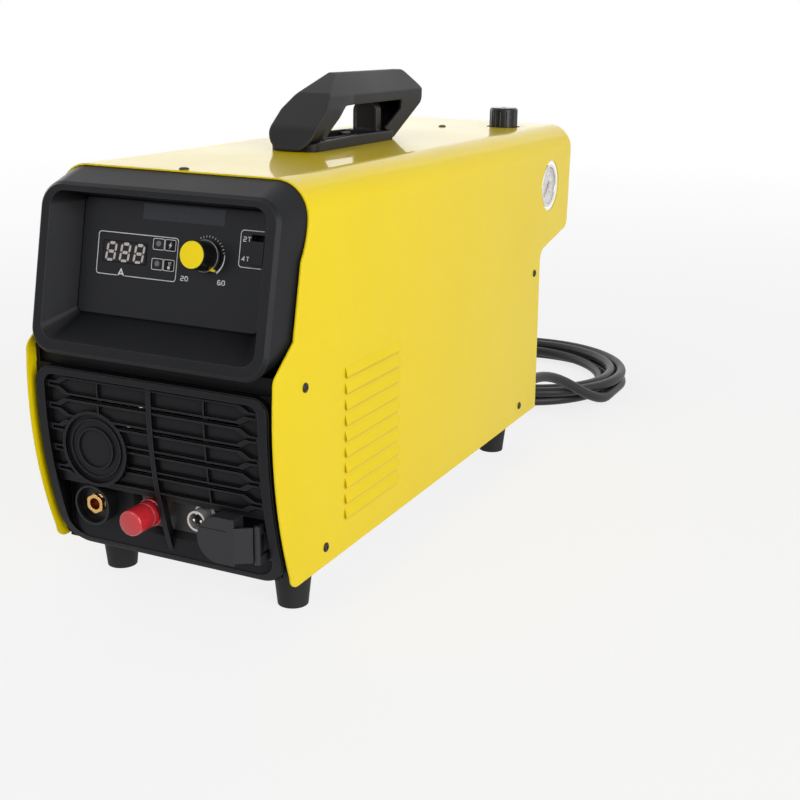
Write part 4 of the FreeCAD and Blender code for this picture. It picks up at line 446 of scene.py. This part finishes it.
# marks printed on the control plate, in millimetres across and up its face
# a box is left, right, low, high and the radius of its corners
plateMarks = {
    "lean": 12.0, "lowEdge": 0.4, "highEdge": 81.5, "face": 1.5, "lift": 0.03, "ink": 0.06,
    "line": 0.55, "frame": (-61.3, 6.0, 28.7, 58.4, 2.2), "unitGap": (-43.4, -36.6),
    "lampBoxes": ((-14.6, -5.4, 49.4, 57.0, 0.9), (-14.6, -5.4, 35.6, 43.2, 0.9)),
    "signBoxes": ((-4.7, 4.0, 49.4, 57.0, 0.9), (-4.7, 4.0, 35.6, 43.2, 0.9)), "boxLine": 0.44,
    "knob": (30.2, 48.5), "ring": 12.8, "tick": 1.3, "tickFrom": 118, "tickTo": 14, "ticks": 10,
    "tickWide": 0.34, "band": (8, -52), "bandWide": 1.4, "bandInset": 0.9, "bandSteps": 12,
    "bracket": (55.5, 73.4, 43.8, 68.6, 2.4), "strip": (-25.0, 42.0, 69.4, 80.6, 0.8),
    "stripThick": 0.08, "fieldInset": 0.4, "fieldCorner": 0.6, "fieldLift": 0.005,
    "fieldThick": 0.02,
    "unit": {"text": "A", "place": (-40.0, 30.9), "high": 4.4, "wide": 4.6, "line": 0.95},
    "letters": {"high": 2.9, "wide": 2.2, "line": 0.62, "gap": 1.178},
    "texts": {"20": (13.2, 31.7), "60": (43.1, 31.7), "2T": (60.5, 62.6), "4T": (60.5, 49.4)}}
leanAngle = math.radians(plateMarks["lean"])
plateLow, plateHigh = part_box("control_plate")
plateFootZ = plateLow[2] - plateMarks["lowEdge"] * mm * math.cos(leanAngle)
plateFootY = plateHigh[1] - plateMarks["highEdge"] * mm * math.sin(leanAngle)
plateTurn = (Matrix.Translation((0, plateFootY, plateFootZ))
             @ Matrix.Rotation(math.pi / 2 - leanAngle, 4, "X"))


def plateFrame(out):
    # turns (across, up, 0) millimetre shapes onto the plate's face
    return plateTurn @ Matrix.Translation((0, 0, out * mm)) @ Matrix.Scale(mm, 4)


def ribbon(bm, points, wide, closed=False):
    # flat line of even width through the points, with mitred corners
    count = len(points)
    lefts, rights = [], []
    for i, point in enumerate(points):
        here = Vector(point)
        back = Vector(points[i - 1]) if (i > 0 or closed) else None
        ahead = Vector(points[(i + 1) % count]) if (i < count - 1 or closed) else None
        into = (here - back if back is not None else ahead - here).normalized()
        away = (ahead - here).normalized() if ahead is not None else into
        across = Vector((-into.y - away.y, into.x + away.x)).normalized()
        # a sharp corner's mitre stops short of three half widths
        reach = wide / 2 / max(0.35, across.dot(Vector((-into.y, into.x))))
        lefts.append(bm.verts.new((*(here + across * reach), 0)))
        rights.append(bm.verts.new((*(here - across * reach), 0)))
    for i in range(count if closed else count - 1):
        k = (i + 1) % count
        bm.faces.new((lefts[i], rights[i], rights[k], lefts[k]))


def flat(bm, points):
    bm.faces.new([bm.verts.new((x, y, 0)) for x, y in points])


def arc(centre, radius, start, stop, steps):
    return [polar(radius, start + (stop - start) * k / steps, centre) for k in range(steps + 1)]


def roundBox(left, right, low, high, r, steps=5):
    corners = [(right - r, low + r), (right - r, high - r), (left + r, high - r),
               (left + r, low + r)]
    return [point for i, corner in enumerate(corners)
            for point in arc(corner, r, 90 * i - 90, 90 * i, steps)]


def thicken(bm, high):
    made = bmesh.ops.extrude_face_region(bm, geom=list(bm.faces))
    lifted = [v for v in made["geom"] if isinstance(v, bmesh.types.BMVert)]
    bmesh.ops.translate(bm, vec=(0, 0, high), verts=lifted)


def layOnPlate(name, bm, material, out, high=plateMarks["ink"], body=chassis):
    thicken(bm, high)
    bmesh.ops.transform(bm, matrix=plateFrame(out), verts=bm.verts)
    return finishMesh(name, bm, material, body)


# plain stroke letters, each as lines across and up in a square
strokes = {
    "0": [[(0.2, 0), (0.8, 0), (1, 0.2), (1, 0.8), (0.8, 1), (0.2, 1), (0, 0.8), (0, 0.2),
           (0.2, 0), (0.5, 0)]],
    "2": [[(0, 1), (0.8, 1), (1, 0.85), (1, 0.65), (0.8, 0.53), (0.2, 0.48), (0, 0.35), (0, 0),
           (1, 0)]],
    "4": [[(0.7, 0), (0.7, 1), (0, 0.32), (1, 0.32)]],
    "6": [[(0.95, 1), (0.2, 1), (0, 0.8), (0, 0.2), (0.2, 0), (0.8, 0), (1, 0.2), (1, 0.4),
           (0.8, 0.56), (0, 0.56)]],
    "A": [[(0, 0), (0.5, 1), (1, 0)], [(0.2, 0.28), (0.8, 0.28)]],
    "T": [[(0, 1), (1, 1)], [(0.5, 0), (0.5, 1)]]}


def strokeText(bm, text, place, high, wide, line, gap=0.0):
    step = wide + gap
    left = place[0] - (step * (len(text) - 1) + wide) / 2
    low = place[1] - high / 2
    for i, letter in enumerate(text):
        for path in strokes[letter]:
            ribbon(bm, [(left + i * step + x * wide, low + y * high) for x, y in path], line)


def shifted(points, place):
    return [(place[0] + x, place[1] + y) for x, y in points]


marks = bmesh.new()
face = plateMarks["face"] + plateMarks["lift"]
# the frame starts right of the unit letter, runs once round and ends left of it
frameLow = plateMarks["frame"][2]
gapLeft, gapRight = plateMarks["unitGap"]
ribbon(marks, [(gapRight, frameLow)] + roundBox(*plateMarks["frame"]) + [(gapLeft, frameLow)],
       plateMarks["line"])
for box in plateMarks["lampBoxes"] + plateMarks["signBoxes"]:
    ribbon(marks, roundBox(*box), plateMarks["boxLine"], closed=True)
strokeText(marks, **plateMarks["unit"])
for text, place in plateMarks["texts"].items():
    strokeText(marks, text, place, **plateMarks["letters"])

# ticks round the knob, then the band that widens towards the end of its turn
knobAt, ringRadius = plateMarks["knob"], plateMarks["ring"]
tickArc = plateMarks["tickFrom"], plateMarks["tickTo"], plateMarks["ticks"]
for tick in zip(arc(knobAt, ringRadius, *tickArc),
                arc(knobAt, ringRadius + plateMarks["tick"], *tickArc)):
    ribbon(marks, tick, plateMarks["tickWide"])
bandFrom, bandTo = plateMarks["band"]
bandSteps = plateMarks["bandSteps"]
outer = arc(knobAt, ringRadius + plateMarks["bandWide"], bandFrom, bandTo, bandSteps)
inner = [polar(ringRadius + plateMarks["bandInset"] * (1 - k / bandSteps),
               bandFrom + (bandTo - bandFrom) * k / bandSteps, knobAt)
         for k in range(bandSteps + 1)]
for k in range(bandSteps):
    flat(marks, [outer[k], outer[k + 1], inner[k + 1], inner[k]])

# open bracket round the mode switch
left, right, low, high, corner = plateMarks["bracket"]
ribbon(marks, [(right, high)] + arc((left + corner, high - corner), corner, 90, 180, 5)
       + arc((left + corner, low + corner), corner, 180, 270, 5) + [(right, low)],
       plateMarks["line"])

# flash and thermometer signs beside the lamps
signs = {"flashPlace": (-0.4, 53.2), "flash": (((1.0, 2.7), (-1.5, -0.3), (-0.1, -0.3)),
                                               ((-1.0, -2.7), (1.5, 0.4), (0.1, 0.4))),
         "warmPlace": (-0.4, 39.4), "bulb": 1.15, "bulbAt": (0, -1.6), "bulbArc": (65, 475, 14),
         "stemTop": [(0.5, 2.2), (-0.5, 2.2)], "lines": (0.2, 1.2, 2.0), "lineFrom": 1.0,
         "lineTo": 2.0, "lineHigh": 0.35}
for half in signs["flash"]:
    flat(marks, shifted(half, signs["flashPlace"]))
bulb = arc(signs["bulbAt"], signs["bulb"], *signs["bulbArc"])[:-1]
flat(marks, shifted(bulb + signs["stemTop"], signs["warmPlace"]))
near, far = signs["lineFrom"], signs["lineTo"]
for low in signs["lines"]:
    high = low + signs["lineHigh"]
    flat(marks, shifted([(near, low), (far, low), (far, high), (near, high)],
                        signs["warmPlace"]))
layOnPlate("plateMarks", marks, looks["whitePrint"], face)

# plain film strip over the plate's top, and dark fields under the signs
strip = bmesh.new()
flat(strip, roundBox(*plateMarks["strip"]))
layOnPlate("plateStrip", strip, looks["stripFilm"], face, plateMarks["stripThick"])
fields = bmesh.new()
inset = plateMarks["fieldInset"]
for left, right, low, high, _ in plateMarks["signBoxes"]:
    flat(fields, roundBox(left + inset, right - inset, low + inset, high - inset,
                          plateMarks["fieldCorner"]))
signFields = layOnPlate("signFields", fields, looks["displayDark"],
                        plateMarks["face"] + plateMarks["fieldLift"], plateMarks["fieldThick"])

# three unlit figures behind the display's window, and the window's rim
figures = {"count": 3, "left": -54.8, "pitch": 11.9, "wide": 9.2, "high": 12.8, "low": 38.9,
           "bar": 2.3, "slant": 0.12, "gap": 0.2, "point": 0.9, "squat": 0.94, "out": 1.92,
           "rim": (-56.2, -19.8, 37.8, 52.4, 0.6), "rimWide": 0.7, "rimHigh": 0.6}


def figureBars():
    # seven bars with pointed ends for each figure
    bm = bmesh.new()
    wide, high, bar, gap = figures["wide"], figures["high"], figures["bar"], figures["gap"]
    inset = bar / 2 + gap
    rails = [(inset, y, wide - inset, y) for y in (0, high / 2, high)]
    posts = [(x, y + gap, x, y + high / 2 - gap) for x in (0, wide) for y in (0, high / 2)]
    for i in range(figures["count"]):
        left = figures["left"] + i * figures["pitch"] + bar / 2
        for ax, ay, cx, cy in rails + posts:
            a, c = Vector((ax, ay)), Vector((cx, cy))
            run = (c - a).normalized() * bar / 2
            side = Vector((-run.y, run.x))
            run *= figures["point"]
            shape = [a, a + run + side, c - run + side, c, c - run - side, a + run - side]
            flat(bm, [(left + p.x * (1 - bar / wide) + p.y * figures["slant"],
                       figures["low"] + p.y * figures["squat"]) for p in shape])
    return bm


layOnPlate("displayFigures", figureBars(), looks["segmentPale"], figures["out"])
rimBar = bmesh.new()
ribbon(rimBar, roundBox(*figures["rim"], steps=2), figures["rimWide"], closed=True)
displayRim = layOnPlate("displayRim", rimBar, looks["displayDark"], plateMarks["face"],
                        figures["rimHigh"])
print("control plate marked")


# current knob: pale ring on the skirt, a painted highlight of the skirt's edge, and the pointer
knobTrim = {"pointer": -52, "tip": 12.7, "back": 9.0, "wide": 2.9, "base": 2.05, "top": 3.45,
            "ring": ((10.62, 5.1), (10.95, 5.1), (10.95, 5.45), (10.6, 5.45)), "steps": 64}
ring = bmesh.new()
spinRound(ring, [(knobAt[0] + r, knobAt[1], z) for r, z in knobTrim["ring"]], (*knobAt, 0),
          (0, 0, 1), knobTrim["steps"], closed=True)
bmesh.ops.transform(ring, matrix=plateFrame(0), verts=ring.verts)
knobSkirtHighlight = finishMesh("knobSkirtHighlight", ring, looks["highlightGrey"], "current_knob_body", smooth=40)
pointer = bmesh.new()
outward = Vector(polar(1, knobTrim["pointer"]))
beside = Vector((-outward.y, outward.x)) * knobTrim["wide"]
back = Vector(knobAt) + outward * knobTrim["back"]
flat(pointer, [Vector(knobAt) + outward * knobTrim["tip"], back + beside, back - beside])
knobPointer = layOnPlate("knobPointer", pointer, looks["knobYellow"], knobTrim["base"],
                         knobTrim["top"], "current_knob_body")
print("knob trimmed")


# crosshead screws, built new over the plain heads, in millimetres
screwSet = {"head": 3.6, "high": 1.4, "largeFrom": 3.8, "largeHigh": 2.0, "crossLong": 2.0,
            "crossWide": 0.55, "crossTaper": 0.8, "deep": 0.9, "steps": 24, "shank": 0.52,
            "shankSteps": 16, "turn": 37, "turnPerMetre": 4000,
            "dome": ((1, 0), (1, 0.35), (0.93, 0.66), (0.78, 0.88), (0.62, 1))}


def crossHead(radius, tall):
    # domed head with a sunk cross, standing on its seat
    bm = bmesh.new()
    spinRound(bm, [(radius * r, 0, tall * z) for r, z in screwSet["dome"]], (0, 0, 0), (0, 0, 1),
              screwSet["steps"])
    rimEdges = [e for e in bm.edges
                if e.is_boundary and min(v.co.z for v in e.verts) > tall / 2]
    a, b = screwSet["crossLong"] * radius / screwSet["head"], screwSet["crossWide"]
    cross = [(a, -b), (a, b), (b, b), (b, a), (-b, a), (-b, b),
             (-a, b), (-a, -b), (-b, -b), (-b, -a), (b, -a), (b, -b)]
    top = [bm.verts.new((x, y, tall)) for x, y in cross]
    crossEdges = [bm.edges.new((top[k - 1], top[k])) for k in range(len(top))]
    bmesh.ops.triangle_fill(bm, use_beauty=True, use_dissolve=False,
                            edges=rimEdges + crossEdges)
    inside = [f for f in bm.faces if all(v in top for v in f.verts)]
    bmesh.ops.delete(bm, geom=inside, context="FACES")
    sunk = bmesh.ops.extrude_edge_only(bm, edges=crossEdges)["geom"]
    deep = [v for v in sunk if isinstance(v, bmesh.types.BMVert)]
    taper = screwSet["crossTaper"]
    bmesh.ops.scale(bm, vec=(taper, taper, 1), verts=deep)
    bmesh.ops.translate(bm, vec=(0, 0, -screwSet["deep"]), verts=deep)
    bmesh.ops.holes_fill(bm, edges=[e for e in bm.edges if e.is_boundary])
    return bm


def islands(node):
    # box of each separate solid in a node, as (low, high) corners
    bm = bmesh.new()
    bm.from_mesh(nodes[node].data)
    bmesh.ops.transform(bm, matrix=nodes[node].matrix_world, verts=bm.verts)
    bmesh.ops.remove_doubles(bm, verts=bm.verts, dist=1e-6)
    left = set(bm.verts)
    boxes = []
    while left:
        group, front = [], [left.pop()]
        while front:
            vert = front.pop()
            group.append(vert.co.copy())
            for wire in vert.link_edges:
                other = wire.other_vert(vert)
                if other in left:
                    left.remove(other)
                    front.append(other)
        boxes.append((Vector([min(p[i] for p in group) for i in range(3)]),
                      Vector([max(p[i] for p in group) for i in range(3)])))
    bm.free()
    return boxes


def joinInto(target, part):
    mesh = bpy.data.meshes.new("part")
    part.to_mesh(mesh)
    part.free()
    target.from_mesh(mesh)
    bpy.data.meshes.remove(mesh)


def screwAt(low, high):
    # a screw's outer end, its direction, its head's radius in millimetres, and its length:
    # side screws point outwards, those under the machine down, the others up or back
    centre, reach = (low + high) / 2, high - low
    along = max(range(3), key=lambda i: reach[i])
    sign = -1 if (along == 0 and centre.x <= 0) or (along == 2 and centre.z < 0.1) else 1
    outward = Vector([sign if i == along else 0 for i in range(3)])
    end = centre.copy()
    end[along] = high[along] if sign > 0 else low[along]
    across = max(reach[i] for i in range(3) if i != along) / 2
    return end, outward, across / mm, reach[along]


screws = bmesh.new()
for low, high in islands("machine_screws"):
    end, outward, radius, long = screwAt(low, high)
    tall = screwSet["largeHigh"] if radius > screwSet["largeFrom"] else screwSet["high"]
    turnTo = outward.to_track_quat("Z", "Y").to_matrix().to_4x4()
    crossTurn = screwSet["turn"] + screwSet["turnPerMetre"] * (end.x + end.y + end.z)
    head = crossHead(radius, tall)
    headPlace = (Matrix.Translation(end - outward * tall * mm) @ turnTo
                 @ Matrix.Rotation(math.radians(crossTurn), 4, "Z") @ Matrix.Scale(mm, 4))
    bmesh.ops.transform(head, matrix=headPlace, verts=head.verts)
    joinInto(screws, head)
    shank = bmesh.new()
    shankLong, shankRadius = long - tall * mm, radius * screwSet["shank"] * mm
    bmesh.ops.create_cone(shank, cap_ends=True, segments=screwSet["shankSteps"],
                          radius1=shankRadius, radius2=shankRadius, depth=shankLong)
    shankMiddle = end - outward * (tall * mm + shankLong / 2)
    bmesh.ops.transform(shank, matrix=Matrix.Translation(shankMiddle) @ turnTo,
                        verts=shank.verts)
    joinInto(screws, shank)
machineScrews = finishMesh("machineScrews", screws, looks["screwBlack"], smooth=35)
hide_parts("machine_screws")
print("screws in place")


def addText(bm, text, high, place, bold):
    # outline text as flat faces, centred on its place, in millimetres
    curve = bpy.data.curves.new("lettering", "FONT")
    curve.body = text
    curve.size = high
    curve.align_x = "CENTER"
    curve.align_y = "CENTER"
    curve.offset = bold
    curve.resolution_u = 4
    holder = bpy.data.objects.new("lettering", curve)
    bpy.context.scene.collection.objects.link(holder)
    bpy.context.view_layer.update()
    view = bpy.context.evaluated_depsgraph_get()
    mesh = bpy.data.meshes.new_from_object(holder.evaluated_get(view))
    mesh.transform(Matrix.Translation((*place, 0)))
    bm.from_mesh(mesh)
    bpy.data.objects.remove(holder)
    bpy.data.curves.remove(curve)
    bpy.data.meshes.remove(mesh)


# pressure gauge: scale lines and numbers on the dial
gauge = {"ticks": 50, "perNumber": 5, "numbers": 10, "first": 225, "sweep": -270, "outer": 16.2,
         "short": 1.3, "long": 2.6, "thin": 0.22, "bold": 0.42, "rim": 16.3, "rimLine": 0.25,
         "rimSteps": 60, "number": 10.6, "high": 3.4, "heavy": 0.04, "inset": 1.4,
         "lift": 0.02, "ink": 0.05}
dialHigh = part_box("gauge_dial")[1]
dialMiddle = middle("gauge_dial")
scale = bmesh.new()
for i in range(gauge["ticks"] + 1):
    angle = gauge["first"] + gauge["sweep"] * i / gauge["ticks"]
    major = i % gauge["perNumber"] == 0
    near = gauge["outer"] - gauge["long" if major else "short"]
    ribbon(scale, [polar(near, angle), polar(gauge["outer"], angle)],
           gauge["bold" if major else "thin"])
ribbon(scale, arc((0, 0), gauge["rim"], gauge["first"], gauge["first"] + gauge["sweep"],
                  gauge["rimSteps"]), gauge["rimLine"])
for i in range(0, gauge["numbers"] + 1, 2):
    angle = gauge["first"] + gauge["sweep"] * i / gauge["numbers"]
    addText(scale, str(i), gauge["high"], polar(gauge["number"], angle), gauge["heavy"])
thicken(scale, gauge["ink"])
faceOut = Matrix(((0, 0, 1, 0), (1, 0, 0, 0), (0, 1, 0, 0), (0, 0, 0, 1)))    # looks to +X
dialFace = (dialHigh[0] + (gauge["lift"] - gauge["inset"]) * mm, dialMiddle.y, dialMiddle.z)
bmesh.ops.transform(scale, matrix=Matrix.Translation(dialFace) @ faceOut @ Matrix.Scale(mm, 4),
                    verts=scale.verts)
gaugeScale = finishMesh("gaugeScale", scale, looks["dialInk"])
print("gauge scaled")


# ON and OFF above and below the breaker's lever
breaker = {"letters": 3.2, "edge": 5.4, "heavy": 0.12, "lift": 0.02, "ink": 0.05}
breakerLow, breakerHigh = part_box("mains_breaker")
breakerWords = bmesh.new()
reachUp = (breakerHigh[2] - breakerLow[2]) / 2 / mm - breaker["edge"]
addText(breakerWords, "ON", breaker["letters"], (0, reachUp), breaker["heavy"])
addText(breakerWords, "OFF", breaker["letters"], (0, -reachUp), breaker["heavy"])
thicken(breakerWords, breaker["ink"])
faceBack = Matrix(((-1, 0, 0, 0), (0, 0, 1, 0), (0, 1, 0, 0), (0, 0, 0, 1)))    # looks to +Y
breakerFace = endMiddle("mains_breaker", rear=True) + Vector((0, breaker["lift"] * mm, 0))
bmesh.ops.transform(breakerWords, matrix=Matrix.Translation(breakerFace) @ faceBack
                    @ Matrix.Scale(mm, 4), verts=breakerWords.verts)
breakerMarks = finishMesh("breakerMarks", breakerWords, looks["whitePrint"])
print("breaker marked")


# red cap: turned body with a collar, outside and then inside, as (along, radius)
cap = {"steps": 56,
       "profile": [(0.0, 0.0), (0.0, 8.2), (0.35, 8.9), (0.9, 9.4), (1.8, 9.6), (15.6, 9.6),
                   (16.0, 9.1), (17.0, 9.1), (17.4, 9.6), (23.6, 9.7), (24.0, 10.4),
                   (24.6, 10.6), (27.0, 10.6), (27.5, 10.1), (27.5, 7.2), (1.4, 7.0),
                   (1.4, 0.0)]}
capBody = bmesh.new()
capEnd = endMiddle("torch_fitting_cap", rear=False)
spinRound(capBody, [capEnd + Vector((r, d, 0)) * mm for d, r in cap["profile"]], capEnd,
          (0, 1, 0), cap["steps"])
redCap = finishMesh("redCap", capBody, looks["redCap"], "torch_cap", smooth=35)
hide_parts("torch_fitting_cap")
print("cap turned")


# studio: pale floor and world, and soft lamps, each a place, a disc's width and a power
studio = {"floor": 14.0, "pale": (0.80, 0.80, 0.80), "rough": 0.9, "near": 0.6, "far": 3.0,
          "glow": 0.8, "world": 0.27, "aim": (0, 0, 0.17),
          "lamps": {"keySoft": ((2.25, -1.2, 0.85), 2.3, 55),
                    "fillSoft": ((-0.5, -2.4, 1.55), 1.5, 14),
                    "backCard": ((-0.95, 2.7, 1.2), 3.4, 16),
                    "leftSoft": ((-2.5, 0.7, 0.8), 2.2, 20)}}


def seenRay(tree):
    # 1 where the camera, a reflection or glass looks straight at the surface
    path = tree.nodes.new("ShaderNodeLightPath")
    last = path.outputs["Is Camera Ray"]
    for ray in ("Is Glossy Ray", "Is Transmission Ray"):
        higher = tree.nodes.new("ShaderNodeMath")
        higher.operation = "MAXIMUM"
        tree.links.new(last, higher.inputs[0])
        tree.links.new(path.outputs[ray], higher.inputs[1])
        last = higher.outputs["Value"]
    return last


def paleStage(name):
    # pale floor that keeps a soft shadow and turns to plain white far from the object
    material = bpy.data.materials.new(name)
    material.use_nodes = True
    tree = material.node_tree
    link = tree.links.new
    shader = tree.nodes["Principled BSDF"]
    shader.inputs["Base Color"].default_value = (*studio["pale"], 1)
    shader.inputs["Roughness"].default_value = studio["rough"]
    shader.inputs["Specular IOR Level"].default_value = 0.0
    glow = tree.nodes.new("ShaderNodeEmission")
    coords = tree.nodes.new("ShaderNodeTexCoord")
    distance = tree.nodes.new("ShaderNodeVectorMath")
    distance.operation = "LENGTH"
    fade = tree.nodes.new("ShaderNodeMapRange")
    fade.inputs["From Min"].default_value = studio["near"]
    fade.inputs["From Max"].default_value = studio["far"]
    fade.inputs["To Min"].default_value = studio["glow"]
    fade.inputs["To Max"].default_value = 1.0
    share = tree.nodes.new("ShaderNodeMath")
    share.operation = "MULTIPLY"
    mix = tree.nodes.new("ShaderNodeMixShader")
    link(coords.outputs["Object"], distance.inputs[0])
    link(distance.outputs["Value"], fade.inputs["Value"])
    link(fade.outputs["Result"], share.inputs[0])
    link(seenRay(tree), share.inputs[1])
    link(share.outputs["Value"], mix.inputs["Fac"])
    link(shader.outputs["BSDF"], mix.inputs[1])
    link(glow.outputs["Emission"], mix.inputs[2])
    link(mix.outputs["Shader"], tree.nodes["Material Output"].inputs["Surface"])
    return material


floor = bmesh.new()
bmesh.ops.create_grid(floor, x_segments=1, y_segments=1, size=studio["floor"])
floorPiece = finishMesh("studioFloor", floor, paleStage("studioPale"), body=None)

world = bpy.data.worlds.new("studioWorld")
bpy.context.scene.world = world
world.use_nodes = True
sky = world.node_tree
dim = sky.nodes["Background"]
dim.inputs["Color"].default_value = (1, 1, 1, 1)
dim.inputs["Strength"].default_value = studio["world"]
white = sky.nodes.new("ShaderNodeBackground")
white.inputs["Color"].default_value = (1, 1, 1, 1)
pick = sky.nodes.new("ShaderNodeMixShader")
sky.links.new(seenRay(sky), pick.inputs["Fac"])
sky.links.new(dim.outputs["Background"], pick.inputs[1])
sky.links.new(white.outputs["Background"], pick.inputs[2])
sky.links.new(pick.outputs["Shader"], sky.nodes["World Output"].inputs["Surface"])

aim = Vector(studio["aim"])
for name, (place, size, power) in studio["lamps"].items():
    lampData = bpy.data.lights.new(name, "AREA")
    lampData.shape = "DISK"
    lampData.size = size
    lampData.energy = power
    lamp = bpy.data.objects.new(name, lampData)
    lamp.location = place
    lamp.rotation_euler = (aim - Vector(place)).to_track_quat("-Z", "Y").to_euler()
    bpy.context.scene.collection.objects.link(lamp)
print("studio ready")
